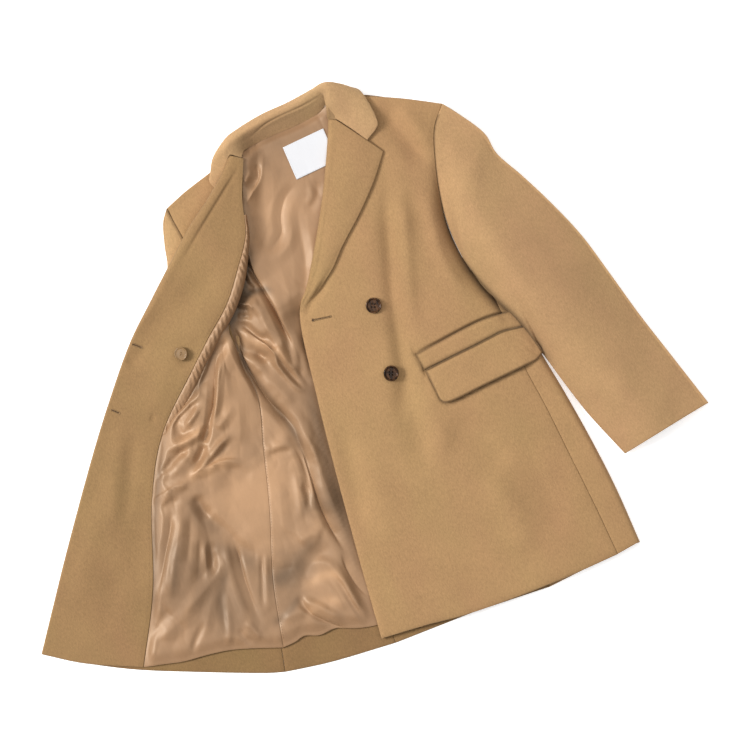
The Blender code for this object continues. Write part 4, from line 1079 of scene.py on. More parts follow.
liningFolds = [
    # pixels along the fold, width to its left, width to its right, height
    # lip of the smooth upper sheet, steep towards the crumpled part below it
    ([(240, 226), (250, 252), (262, 275), (275, 296), (287, 318), (295, 342), (299, 364)], 60, 5, 9.0),
    ([(248, 262), (258, 276), (268, 292), (280, 316), (290, 338), (294, 358)], 6, 7, -6.0),
    # soft folds of the upper sheet
    ([(264, 152), (263, 166), (260, 180), (252, 194), (244, 208)], 16, 4, 5.5),
    ([(258, 164), (256, 178), (249, 190)], 4, 6, -3.4),
    ([(254, 172), (248, 178), (244, 186)], 3, 3, 2.4),
    ([(255, 178), (250, 184), (246, 190)], 2.6, 2.6, -2.0),
    ([(300, 182), (290, 192), (284, 204), (282, 220), (283, 234), (276, 246), (264, 252)], 7, 8, -5.4),
    ([(304, 190), (293, 202), (289, 218), (292, 236), (284, 252), (270, 264)], 7, 9, 3.2),
    ([(272, 160), (274, 186), (271, 214), (262, 240)], 14, 12, 3.0),
    ([(297, 206), (300, 232), (305, 262), (305, 288), (300, 304)], 7, 9, -4.0),
    ([(310, 226), (313, 250), (310, 276)], 7, 7, 2.2),
    ([(314, 178), (318, 192), (312, 206), (305, 214)], 5, 5, -3.0),
    ([(308, 186), (312, 196), (306, 206)], 4, 4, 2.0),
    ([(280, 262), (286, 284), (294, 306)], 14, 10, 2.0),
    # crumpled bulge under it
    ([(252, 284), (256, 300), (263, 318), (272, 338), (283, 356), (296, 376)], 22, 16, 8.0),
    ([(246, 268), (252, 282), (262, 288), (271, 290)], 4, 4, 2.6),
    ([(244, 276), (250, 286), (258, 290)], 3, 4, -2.6),
    ([(238, 308), (244, 303), (251, 304), (254, 312)], 6, 5, 4.6),
    ([(240, 312), (246, 309), (250, 314)], 2.6, 2.6, -2.6),
    ([(237, 317), (246, 316), (253, 318)], 3, 3, -3.2),
    ([(238, 320), (248, 330), (258, 338), (268, 342)], 5, 5, -5.0),
    ([(240, 324), (250, 335), (262, 345), (272, 352), (280, 364)], 4, 5, 4.4),
    ([(262, 334), (270, 340), (278, 350)], 6, 6, -3.2),
    ([(236, 330), (245, 344), (256, 353), (268, 358)], 4, 4, -3.4),
    ([(237, 336), (246, 352), (258, 364), (270, 378)], 6, 5, 3.8),
    ([(256, 352), (264, 358), (270, 356)], 4, 4, -2.6),
    ([(268, 350), (277, 364), (288, 378), (298, 388), (307, 393)], 3, 3.4, 3.0),
    ([(276, 354), (286, 368), (296, 380), (305, 388)], 4, 5, -3.0),
    ([(262, 372), (274, 384), (286, 396), (296, 404)], 10, 8, 4.0),
    ([(284, 340), (290, 354), (294, 368)], 5, 5, -2.4),
    # strip beside the left front's edge
    ([(296, 324), (301, 344), (307, 362), (308, 378)], 4, 4.5, 5.0),
    ([(303, 330), (307, 350), (312, 372)], 3, 4, -4.0),
    ([(299, 366), (304, 378), (312, 384)], 4, 4, -3.0),
    # long valley between the bulge and the lower lining
    (
        [(230, 316), (238, 338), (246, 358), (258, 380), (270, 400), (284, 414), (294, 428), (299, 444)],
        7, 9, -9.0,
    ),
    (
        [(292, 424), (298, 438), (308, 456), (314, 474), (318, 494), (330, 520), (341, 541), (352, 562)],
        6, 7, -7.0,
    ),
    ([(342, 552), (352, 574), (362, 588), (374, 598)], 6, 7, -6.0),
    ([(282, 398), (298, 420), (312, 446), (322, 474), (334, 506), (346, 536)], 8, 8, 5.0),
    ([(290, 442), (300, 456), (307, 476), (309, 504)], 5, 5, -3.6),
    ([(300, 446), (307, 462), (312, 484), (316, 504)], 3.4, 3.4, 3.0),
    ([(264, 450), (278, 446), (292, 436)], 7, 8, 2.6),
    ([(266, 458), (280, 452), (294, 450)], 4, 5, -2.4),
    ([(302, 482), (308, 496), (310, 510)], 4, 4, -3.0),
    ([(294, 470), (299, 492), (302, 520)], 6, 5, 2.0),
    ([(286, 470), (290, 500), (292, 530)], 7, 7, -1.4),
    # shadowed hollow under the smooth patch, and the folds at its foot
    ([(302, 584), (306, 570), (318, 556), (332, 544)], 10, 12, -6.0),
    ([(298, 544), (312, 534), (324, 536)], 14, 12, 4.2),
    ([(264, 566), (280, 570), (296, 566)], 12, 16, -3.0),
    ([(304, 574), (314, 563), (328, 563), (342, 580), (354, 600), (368, 622)], 6, 8, 6.0),
    ([(332, 572), (345, 590), (358, 612), (366, 622)], 3.4, 3.4, -3.4),
    ([(312, 584), (326, 584), (338, 596), (346, 612)], 10, 10, 2.6),
    ([(300, 594), (304, 606), (314, 612)], 4, 4, -3.4),
    ([(302, 606), (316, 615), (332, 622), (350, 629)], 3, 4, -4.4),
    ([(298, 598), (310, 602), (328, 611), (346, 622)], 5, 4, 4.4),
    ([(280, 624), (294, 614), (308, 610), (322, 620)], 7, 7, 3.6),
    ([(268, 606), (276, 616), (280, 628)], 8, 8, -2.4),
    # pleat beside the lining seam
    ([(262, 552), (262, 578), (263, 610)], 2.4, 2.4, -2.6),
    ([(266, 552), (267, 580), (269, 612)], 3.4, 2.6, 2.0),
    # drapes towards the hem
    ([(232, 532), (237, 556), (243, 580), (252, 604), (264, 628)], 5, 6, -5.0),
    ([(224, 540), (229, 566), (236, 592), (246, 618), (252, 634)], 7, 6, 3.8),
    ([(246, 620), (256, 632), (262, 640)], 4, 4, 3.0),
    ([(238, 628), (246, 638), (254, 644)], 4, 4, -2.6),
    ([(210, 540), (212, 556), (215, 578)], 5, 5, -5.0),
    ([(200, 536), (200, 556), (198, 582)], 8, 6, -3.0),
    ([(205, 540), (206, 560), (208, 584)], 4, 4, 2.6),
    ([(228, 556), (214, 578), (196, 600), (178, 620)], 8, 8, 5.0),
    ([(220, 550), (206, 572), (188, 590)], 7, 7, -3.0),
    ([(222, 584), (222, 606), (226, 630)], 5, 5, -3.6),
    ([(214, 590), (210, 612), (204, 636)], 6, 6, 3.0),
    ([(192, 654), (197, 638), (206, 620)], 4, 4, -3.0),
    ([(160, 642), (176, 624), (192, 612)], 8, 9, 3.0),
    ([(150, 640), (160, 622), (172, 606)], 7, 7, -2.6),
    ([(228, 648), (230, 630), (227, 608)], 4, 4, 2.6),
    ([(172, 504), (169, 530), (163, 560), (158, 596)], 5, 6, -4.4),
    ([(182, 502), (180, 534), (174, 570), (170, 604)], 9, 7, 3.4),
    ([(191, 510), (190, 540), (187, 570)], 6, 6, -2.4),
    # smooth patch, with a dent at its left and a soft step below
    ([(226, 488), (236, 506), (250, 526), (262, 544)], 26, 30, 5.0),
    ([(190, 496), (206, 514), (226, 530), (244, 548), (262, 562)], 6, 20, -4.0),
    ([(196, 494), (203, 508), (212, 518)], 9, 9, -4.6),
    ([(280, 480), (282, 510), (284, 540)], 18, 14, 3.0),
    ([(150, 506), (164, 496), (178, 488), (192, 478)], 8, 5, 4.4),
    ([(153, 514), (166, 506), (182, 498)], 4, 6, -2.8),
    ([(156, 482), (164, 472), (172, 462)], 4, 4, -3.4),
    ([(153, 490), (160, 480), (168, 470)], 3, 3, 2.6),
    # fan of wrinkles from the facing
    (
        [
            (207, 382), (196, 394), (181, 406), (169, 420), (163, 436),
            (172, 446), (188, 440), (205, 430), (214, 420),
        ],
        6, 6, 5.4,
    ),
    ([(202, 396), (190, 408), (178, 422), (182, 434), (194, 430)], 7, 7, -4.4),
    ([(200, 404), (194, 416), (186, 428)], 3.4, 3.4, 2.6),
    ([(233, 334), (222, 348), (213, 364), (205, 380), (194, 394)], 7, 6, -6.0),
    ([(214, 346), (213, 372), (212, 398), (209, 424), (206, 442)], 4, 4, -5.0),
    ([(220, 352), (219, 380), (217, 404), (211, 428)], 5, 4, 4.0),
    ([(207, 424), (206, 434), (203, 444)], 5, 5, -5.4),
    ([(234, 404), (226, 418), (216, 430)], 6, 6, 3.0),
    ([(234, 430), (222, 444), (209, 460), (196, 473), (188, 480)], 5, 5, 4.8),
    ([(206, 442), (201, 456), (195, 468)], 4, 5, -4.4),
    ([(230, 440), (216, 456), (206, 468)], 4, 4, -3.4),
    ([(190, 478), (206, 472), (222, 464), (246, 463)], 5, 3.4, 4.0),
    ([(226, 468), (240, 472), (252, 478)], 8, 8, -2.0),
    ([(196, 446), (184, 462), (170, 480)], 8, 7, 3.0),
    ([(190, 448), (178, 456), (168, 466)], 4, 4, -3.0),
    ([(224, 352), (226, 376), (230, 400)], 8, 8, 2.4),
    ([(238, 396), (240, 420), (240, 448)], 8, 8, 2.4),
]
lining = {
    "base": 8.0,
    "depth": 1.1,
    "ripple": 0.3,
    "crease": 1.2,
    # lift near the facing, how far it reaches, and the heights on the coat where it starts and is full
    "nearFacing": 12,
    "facingReach": 32,
    "facingEnds": (560, 610),
    # foot of the left lapel's roll, and the way from the left edge to free cloth below and above it
    "rollFoot": (486, 520),
    "freeBelow": (-4, 26),
    "freeAbove": (-26, -2),
    # share of the folds that is left under the left front and along the hem
    "covered": 0.16,
    "atHem": 0.30,
    "hemReach": 22,
    # way from the collar's seam over which the lining leaves it, its depth under it, and its end along x
    "neckReach": 13,
    "neckUnder": 1.2,
    "neckEnd": 70,
    # gain of the painted shade and painted sheen of the satin
    "paintedShadeAndSheenGain": 1.35,
    # smooth places: pixels and radius
    "smooth": [
        (288, 215, 75), (256, 505, 62), (282, 262, 50), (246, 400, 40), (292, 150, 50),
        (215, 600, 60), (262, 600, 50), (320, 560, 40),
    ],
    "calm": 0.45,
    # crumpled places: pixels and radius
    "lively": [(262, 318, 62), (284, 360, 50), (200, 440, 50), (248, 262, 40)],
    "liveliness": 0.5,
    "puckerPitch": 8.5,
    # gathers beside the left edge: heights on the coat where they rise and fall away, way from the edge,
    # width, height and how much of it waves
    "gatherRise": (60, 130),
    "gatherFall": (330, 400),
    "gatherAt": 7,
    "gatherWidth": 6,
    "gather": 2.0,
    "gatherWave": 1.2,
    "top": [(-84, 734), (-62, 742.5), (-35, 746), (0, 748), (36, 753), (56, 758), (80, 758)],
    # height of the collar's neck seam along x
    "neckX": (-87, -81, -74, -62, -35, 0, 36, 54, 70),
    "neckZ": (33, 28, 21, 14, 11.5, 11.5, 12.5, 18, 24),
    "start": [(-84, 734), (-106, 676), (-138, 612), (-176, 556), (-192, 497)],
    "end": [(80, 758), (140, 690), (142, 600), (135, 500), (140, 400), (152, 250), (172, 100), (186, 36)],
    # visible hems, pixels from the facing to the left front
    "hemFront": [(145, 668), (165, 665), (185, 662), (206, 656), (228, 651), (250, 649), (282, 648)],
    "hemBack": [(282, 648), (295, 642), (304, 636), (320, 635), (336, 628), (357, 628), (377, 625)],
    "hemHidden": [(-70, 33), (20, 30), (100, 30), (186, 36)],
    "startRows": 80,
    "seamRows": 150,
    # shares across the back lining and counts of columns: fine where it shows, coarse under the left front
    "columns": ((0, 0.72, 140), (0.72, 1, 20)),
    "sheet": (0.46, 0.73, 0.262),
}


# lips that fall over the fold beside them: pixels along the lip, side it comes from, reach, width
liningLips = [
    ([(246, 240), (254, 262), (266, 284), (279, 306), (290, 330), (297, 354)], 1, 8, 7),
    ([(236, 322), (244, 346), (256, 372), (270, 394), (286, 412), (296, 430)], 1, 8, 7),
    ([(294, 428), (304, 448), (314, 476), (324, 506), (338, 536), (350, 560)], 1, 6, 6),
    ([(236, 306), (246, 302), (254, 306), (256, 318)], 1, 4, 4),
    ([(240, 326), (252, 338), (266, 348), (280, 366)], -1, 4, 4),
    ([(214, 346), (213, 372), (212, 398), (208, 430)], -1, 4, 4),
    ([(196, 392), (180, 406), (168, 422), (164, 438)], -1, 4, 4),
    ([(188, 478), (206, 470), (226, 462), (246, 460)], -1, 4, 4),
    ([(150, 504), (166, 494), (184, 484)], -1, 4, 4),
    ([(302, 604), (318, 614), (336, 622), (352, 629)], 1, 4, 4),
    ([(340, 550), (352, 574), (364, 590), (376, 600)], 1, 4, 4),
    ([(258, 166), (257, 178), (250, 192), (244, 206)], -1, 4, 5),
    ([(300, 184), (290, 196), (284, 214), (284, 236), (270, 250)], 1, 3, 5),
    ([(232, 534), (238, 560), (246, 588), (258, 616)], -1, 4, 4),
    ([(172, 506), (168, 534), (162, 566), (158, 596)], -1, 3, 4),
]


# painted shade along darker runs and painted sheen along paler runs of the satin: pixels, width to the left,
# width to the right, darkness, below 0 for the painted sheen
liningPaintedShadeAndSheen = [
    ([(252, 240), (247, 262), (243, 284), (239, 304), (230, 322), (220, 338)], 9, 11, 0.9),
    ([(236, 304), (246, 296), (256, 291), (268, 290), (276, 294)], 5, 6, 0.6),
    ([(222, 332), (214, 350), (206, 370), (197, 388), (184, 404)], 6, 7, 0.5),
    ([(228, 318), (236, 342), (243, 362), (256, 380), (277, 408), (300, 442), (307, 476)], 5, 6, 0.5),
    ([(302, 356), (308, 380), (315, 410), (327, 458), (347, 525), (360, 570)], 9, 12, 0.42),
    ([(190, 492), (200, 512), (212, 526), (230, 534)], 10, 14, 0.34),
    ([(200, 540), (222, 548), (246, 558), (264, 576)], 12, 14, 0.30),
    ([(262, 584), (280, 578), (296, 564), (308, 548), (330, 536)], 12, 13, 0.42),
    ([(172, 416), (164, 440), (160, 467), (155, 521), (153, 570), (153, 640)], 6, 5, 0.42),
    ([(180, 528), (177, 548), (175, 580), (172, 606)], 6, 7, 0.26),
    ([(228, 548), (226, 572), (222, 600), (230, 640)], 6, 7, 0.30),
    ([(300, 590), (294, 606), (284, 616), (270, 628)], 6, 7, 0.36),
    ([(176, 490), (190, 478), (214, 466), (244, 446)], 8, 9, -0.34),
    ([(176, 452), (184, 442), (198, 432), (208, 420)], 5, 6, -0.34),
    ([(240, 330), (252, 340), (277, 350), (296, 370)], 6, 6, -0.36),
    ([(302, 590), (314, 580), (332, 574), (346, 580)], 7, 8, -0.32),
    ([(306, 616), (318, 604), (332, 600), (346, 606)], 7, 8, -0.24),
    ([(284, 412), (280, 430), (274, 456), (268, 482)], 10, 11, -0.20),
    ([(224, 332), (228, 350), (236, 376), (240, 400)], 10, 12, -0.24),
    ([(196, 560), (192, 590), (186, 620), (180, 650)], 5, 6, -0.18),
    ([(248, 590), (250, 610), (246, 630), (240, 646)], 6, 6, -0.18),
]


def fallOver(plan):
    moved = plan.copy()
    for pixels, lipSide, reach, width in liningLips:
        line = curve(onCoat(pixels), 6 * len(pixels))
        distance, side, share, away = nearestOnLine(line, plan)
        inside = distance * side * lipSide
        fade = ease(0, 0.3, share) * (1 - ease(0.7, 1, share))
        shift = reach * fade * np.exp(-(((inside - 0.4 * width) / width) ** 2))
        moved -= (shift * side * lipSide)[..., None] * away
    return moved


def nearSpots(spots, places, power):
    near = np.zeros(places.shape[:-1])
    for px, py, radius in spots:
        distance = ((places - onCoat((px, py))) ** 2).sum(axis=-1) / radius**2
        near = np.maximum(near, np.exp(-(distance**power)))
    return near


def crumple(x, y):
    # soft ripples, and sharp creases that wander
    ripple = softNoise(x * 0.8 + 0.5 * y, y * 0.35 - x * 0.2, 11, 21)
    ripple += 0.6 * softNoise(x + 0.3 * y, y * 0.5, 6, 22)
    wx, wy = x + 15 * softNoise(x, y, 55, 24), y + 15 * softNoise(x, y, 55, 25)
    crease = (1 - np.abs(softNoise(wx + 0.3 * wy, 0.4 * wy, 27, 26))) ** 3
    crease += 0.6 * (1 - np.abs(softNoise(wx - 0.5 * wy, 0.7 * wy + 0.3 * wx, 17, 27))) ** 3
    return lining["ripple"] * ripple + lining["crease"] * (0.55 - crease)


def gathers(x, y, fromEdge):
    # small folds along the left front's edge
    phase = 2 * math.pi * (y / lining["puckerPitch"] + fromEdge / 14)
    wave = np.sin(phase + 1.5 * softNoise(x, y, 30, 23))
    gather = ease(*lining["gatherRise"], y) * (1 - ease(*lining["gatherFall"], y))
    gather = gather * np.exp(-(((fromEdge - lining["gatherAt"]) / lining["gatherWidth"]) ** 2))
    return gather * (lining["gather"] + lining["gatherWave"] * wave)


def liningHeight(plan, rest):
    x, y = plan[..., 0], plan[..., 1]
    smooth = nearSpots(lining["smooth"], plan, 2)
    lively = nearSpots(lining["lively"], plan, 1)
    fold = lining["depth"] * creaseField(liningFolds, plan, True)
    fold *= 1 - lining["calm"] * smooth * (1 - lively) + lining["liveliness"] * lively
    fold += (1 - 0.8 * smooth) * crumple(x, y)
    edge = curve(edges["leftRoll"] + edges["leftEdge"], 80)
    side = np.sign(np.interp(y, edge[::-1, 1], edge[::-1, 0]) - x)
    fromEdge = nearestOnLine(edge, plan)[0] * side
    fold += gathers(x, y, fromEdge)
    # it lies close where the left front covers it, and along its hem
    high = ease(*lining["rollFoot"], y)
    free = ease(*lining["freeBelow"], fromEdge) * (1 - high)
    free += ease(*lining["freeAbove"], fromEdge) * high
    fromFacing = nearestOnLine(curve(edges["facingHigh"], 40), plan)[0]
    lift = lining["nearFacing"] * (1 - ease(0, lining["facingReach"], fromFacing))
    fold += lift * ease(*lining["facingEnds"], y)
    fromHem = y - np.interp(x, hemLine[:, 0], hemLine[:, 1])
    inside = ease(0, lining["hemReach"], fromHem)
    lifted = lining["base"] + np.maximum(fold, -lining["base"])
    lifted = lifted * (lining["covered"] + (1 - lining["covered"]) * free)
    lifted = lifted * (lining["atHem"] + (1 - lining["atHem"]) * inside)
    return rest + cloth["gap"] + cloth["satin"] + lifted


def bedHeight(nodes, plan, smooth, most, again):
    # heights at every other point, which is fine enough under the folds
    rest = restHeight(nodes, plan[::2, ::2], smooth)
    rest = np.repeat(np.repeat(rest, 2, axis=0), 2, axis=1)[: plan.shape[0], : plan.shape[1]]
    return blurred(np.minimum(rest, most), again)


def layLining(name, node, grid):
    # painted shade and painted sheen along the listed runs
    clothWall(
        name, grid, cloth["satin"], satin, "lining_satin", [node],
        paintedShadeAndSheen=lining["paintedShadeAndSheenGain"] * creaseField(liningPaintedShadeAndSheen, grid),
    )


hemFront = onCoat(lining["hemFront"])
hemBack = np.concatenate([onCoat(lining["hemBack"]), lining["hemHidden"]])
hemLine = np.concatenate([curve(hemFront, 80), curve(hemBack, 80)])
seamLine = curve(edges["liningSeam"][:-1] + [tuple(hemFront[-1])], lining["seamRows"])
startLine = np.concatenate([curve(lining["start"], lining["startRows"])[:-1], seamLine])
fine, coarse = lining["columns"]
shares = np.concatenate([np.linspace(*fine)[:-1], np.linspace(*coarse)])
plan = panel(
    curve(lining["top"], shares), curve(hemBack, shares), startLine,
    curve(lining["end"], len(startLine)), shares,
)
x, y = plan[..., 0], plan[..., 1]
rest = bedHeight(["back_left", "back_right", "right_side", "left_side"], plan, 2, 12, 4)
height = liningHeight(plan, rest)
fromNeck = nearestOnLine(curve(lining["top"], 40), plan)[0]
atNeck = (1 - ease(0, lining["neckReach"], fromNeck)) * (x < lining["neckEnd"])
neckHeight = np.interp(x, lining["neckX"], lining["neckZ"]) - lining["neckUnder"]
height = height * (1 - atNeck) + neckHeight * atNeck
backLiningGrid = raised(fallOver(plan), height)
backLiningGrid[..., 2] -= seamDip(backLiningGrid, ("start",), 2.0, 3.0) * (y < 480)
layLining(
    "backLining", "back_lining", backLiningGrid,
)

# front lining, from under the facing's edge to just under the back lining's edge
frontLining = {
    "rows": 170,
    "columns": 104,
    # it starts below these heights, at the facing and at its seam
    "top": (566, 580),
    # how far it reaches under the back lining
    "tuck": 2.0,
    # way from the facing over which it is sewn, and the heights on the coat where that ends
    "sewnReach": 14,
    "sewnEnds": (380, 420),
    # it stays this far under the facing's edge, and may rise with the way from it
    "under": 1.0,
    "rise": 0.6,
    # the same under the puckered strip: heights on the coat where it begins, depth, reach and rise
    "stripEnds": (400, 440),
    "stripUnder": 8,
    "stripReach": 11,
    "stripRise": 0.7,
    "clear": 1.4,
    "sheet": (0.29, 0.50, 0.080),
}
left = rightFacingGrid[:, -1]
left = curve(left[left[:, 1] < frontLining["top"][0]], frontLining["rows"])
right = startLine[startLine[:, 1] < frontLining["top"][1]]
right = curve(right + (frontLining["tuck"], 0), frontLining["rows"])
shares = np.linspace(0, 1, frontLining["columns"])
plan = panel(curve([left[0, :2], right[0]], shares), curve(hemFront, shares), left[:, :2], right)
x, y = plan[..., 0], plan[..., 1]
rest = bedHeight(["right_front", "right_side"], plan, 3, 16, 6)
height = liningHeight(plan, rest)
atFacing = np.linalg.norm(plan - plan[:, :1], axis=2)
facingZ = left[:, 2][:, None]
sewn = 1 - ease(0, frontLining["sewnReach"], atFacing)
sewn = sewn * (1 - ease(*frontLining["sewnEnds"], y))
height = height * (1 - sewn) + (facingZ - frontLining["under"]) * sewn
underStrip = ease(*frontLining["stripEnds"], y)
limit = facingZ - frontLining["under"] + frontLining["rise"] * atFacing
pastStrip = np.maximum(atFacing - frontLining["stripReach"], 0)
stripLimit = facingZ - frontLining["stripUnder"] + frontLining["stripRise"] * pastStrip
limit = limit * (1 - underStrip) + stripLimit * underStrip
height = np.minimum(height, limit)
bed = blurred(restHeight(["rightFront"], plan), 1)
height = np.maximum(height, bed + frontLining["clear"])
frontLiningGrid = raised(fallOver(plan), height)
frontLiningGrid[..., 2] -= seamDip(frontLiningGrid, ("end",), 0.4, 3.0)
layLining(
    "rightFrontLining", "right_front_lining", frontLiningGrid,
)
print("lining laid")


# Puckered strip of lining, turned down along the facing

liningEdge = {
    "rows": 240,
    "columns": 14,
    "fromY": 652,
    "toY": 392,
    "width": 15,
    "pucker": 1.5,
    "pitch": 11.0,
    # its height over the facing's edge, at shares across
    "profileAt": (0, 0.2, 0.5, 0.8, 1),
    "profile": (0.2, 1.8, 1.4, -2.0, -8.0),
    # shares along it where it widens, narrows and flattens
    "widens": (0, 0.3),
    "narrows": (0.85, 1),
    "flattens": (0.55, 0.95),
    "sheet": (0.016, 0.36, 0.0050),
}
lip = rightFacingGrid[:, -1]
inside = (lip[:, 1] < liningEdge["fromY"]) & (lip[:, 1] > liningEdge["toY"])
lip = curve(lip[inside], liningEdge["rows"])
run = np.gradient(lip[:, :2], axis=0)
out = np.stack([-run[:, 1], run[:, 0]], axis=1) / np.linalg.norm(run, axis=1)[:, None]
along = np.concatenate([[0], np.cumsum(np.linalg.norm(np.diff(lip, axis=0), axis=1))])
share = np.linspace(0, 1, liningEdge["rows"])
wide = liningEdge["width"] * (0.25 + 0.75 * ease(*liningEdge["widens"], share))
wide = wide * (1 - 0.5 * ease(*liningEdge["narrows"], share))
across = np.linspace(0, 1, liningEdge["columns"])
aside = wide[:, None] * across
fall = np.interp(across, liningEdge["profileAt"], liningEdge["profile"])
fall = fall[None] * (1 - 0.55 * ease(*liningEdge["flattens"], share))[:, None]
wander = 5.0 * softNoise(along, along * 0, 23, 31)
phase = (along + wander)[:, None] / liningEdge["pitch"] - aside / 10.0
pucker = liningEdge["pucker"] * np.sin(2 * math.pi * phase)
pucker *= np.sin(math.pi * np.clip(across, 0.08, 0.92))[None]
pucker *= (0.55 + 0.45 * softNoise(along, along * 0, 15, 32))[:, None]
plan = lip[:, None, :2] + aside[..., None] * out[:, None]
stripGrid = raised(plan, lip[:, 2:3] + fall + pucker)
clothWall(
    "rightLiningEdge", stripGrid, cloth["satin"], satin, "lining_satin", ["right_lining_edge"],
)


# Label

label = {
    "corners": [(-27, 722), (37, 728), (-24, 672), (40, 678)],
    "rows": 24,
    "columns": 28,
    "smooth": 60,
    "sheet": (0.066, 0.056, 0.0036),
}
a, b, c, d = label["corners"]
plan = panel(
    curve([a, b], label["columns"]), curve([c, d], label["columns"]),
    curve([a, c], label["rows"]), curve([b, d], label["rows"]),
)
rest = restHeight(["backLining"], plan)
height = blurred(rest, label["smooth"])
height += np.maximum(rest - height, 0).max() + 0.3
labelGrid = raised(plan, height)
clothWall(
    "neckLabel", labelGrid, cloth["label"], labelTape, "label_white", ["label"],
    grows="up",
)


# Left facing under the front edge, and the lapel turned over its roll

leftFacing = {"top": 488, "width": 95, "columns": 14, "sheet": (0.10, 0.49, 0.047)}
inside = leftFrontGrid[:, 0, 1] < leftFacing["top"]
rowStart = leftFrontGrid[inside, 0, :2]
rowWay = leftFrontGrid[inside, -1, :2] - rowStart
rowWay /= np.linalg.norm(rowWay, axis=1)[:, None]
steps = np.linspace(0, leftFacing["width"], leftFacing["columns"])
plan = rowStart[:, None] + steps[None, :, None] * rowWay[:, None]
height = blurred(restHeight(["left_facing"], plan), 6) - 0.4
grid = raised(plan, height)
clothWall(
    "leftFacing", grid, cloth["wool"], woolFacingPaintedShade, "wool_facing", ["left_facing"],
    upright=True,
)

leftLapel = {
    "rows": 110,
    "leg": 34,
    "arc": 14,
    "rollRadius": 8,
    "footRadius": 1.2,
    "footThick": 1.8,
    # shares of the length over which it thins to its foot, and over which it sinks into the front
    "thins": (0.74, 1),
    "sinks": (0.86, 0.99),
    "footSink": 0.5,
    "footDrop": 1.4,
    "under": 22,
    "underSteps": (0.35, 0.7, 1.0),
    "edgeLift": 1.4,
    "puff": 2.4,
    "outer": [(108, 667), (80, 631), (44, 594), (5, 559), (-19, 534), (-45, 514), (-60, 502.5), (-71, 492)],
    "sheet": (0.15, 0.29, 0.0235),
}
roll = curve([(49, 740)] + edges["leftRoll"][1:] + [(-78, 505), (-85, 491)], leftLapel["rows"])
outer = curve(leftLapel["outer"], leftLapel["rows"])
run = np.gradient(roll, axis=0)
way = np.stack([-run[:, 1], run[:, 0]], axis=1) / np.linalg.norm(run, axis=1)[:, None]
leg = np.linspace(1, 0, leftLapel["leg"])
foot = ease(*leftLapel["thins"], np.linspace(0, 1, leftLapel["rows"]))
radii = leftLapel["rollRadius"] * (1 - foot) + leftLapel["footRadius"] * foot
thick = cloth["lapel"] * (1 - foot) + leftLapel["footThick"] * foot
pivots = roll + radii[:, None] * way
plan = pivots[:, None] * (1 - leg)[None, :, None] + outer[:, None] * leg[None, :, None]
under = blurred(restHeight(["leftFront"], plan), 10)
sections = []
for i, (pivot, radius) in enumerate(zip(pivots, radii)):
    centre = under[i, -1] - cloth["wool"] / 2
    share = i / leftLapel["rows"]
    above = (cloth["gap"] + thick[i]) * (1 - ease(*leftLapel["sinks"], share))
    rest = under[i] + above - leftLapel["footSink"] * foot[i] ** 4
    puff = np.maximum(centre + radius - rest[-1], 0) * (1 - leg) ** 2
    puff += leftLapel["puff"] * (1 - foot[i]) * np.sin(math.pi * leg) ** 2
    puff += leftLapel["edgeLift"] * ease(0.45, 1, leg) * ease(0, 0.25, share) * (1 - ease(0.75, 1, share))
    section = [(*plan[i, j], rest[j] + puff[j]) for j in range(leftLapel["leg"])]
    for a in np.radians(np.linspace(90, 270, leftLapel["arc"] + 2)[1:]):
        section.append((*(pivot + radius * math.cos(a) * way[i]), centre + radius * math.sin(a)))
    floorZ = centre - radius - leftLapel["footDrop"] * foot[i]
    for s in leftLapel["underSteps"]:
        section.append((*(pivot + s * leftLapel["under"] * way[i]), floorZ))
    sections.append(section[::-1])
lapelGrid = np.array(sections)
lapelGrid[..., 2] -= seamDip(lapelGrid, ("end",), 1.3, 4.0)
lapelGrid[..., 2] -= seamDip(lapelGrid, ("top",), 0.8, 3.0)
clothWall(
    "leftLapel", lapelGrid, thick, woolLapelPaintedShade, "wool_facing", ["left_lapel"],
)
print("label and lapel laid")


# Collar, a row for each station from the wearer's right to left

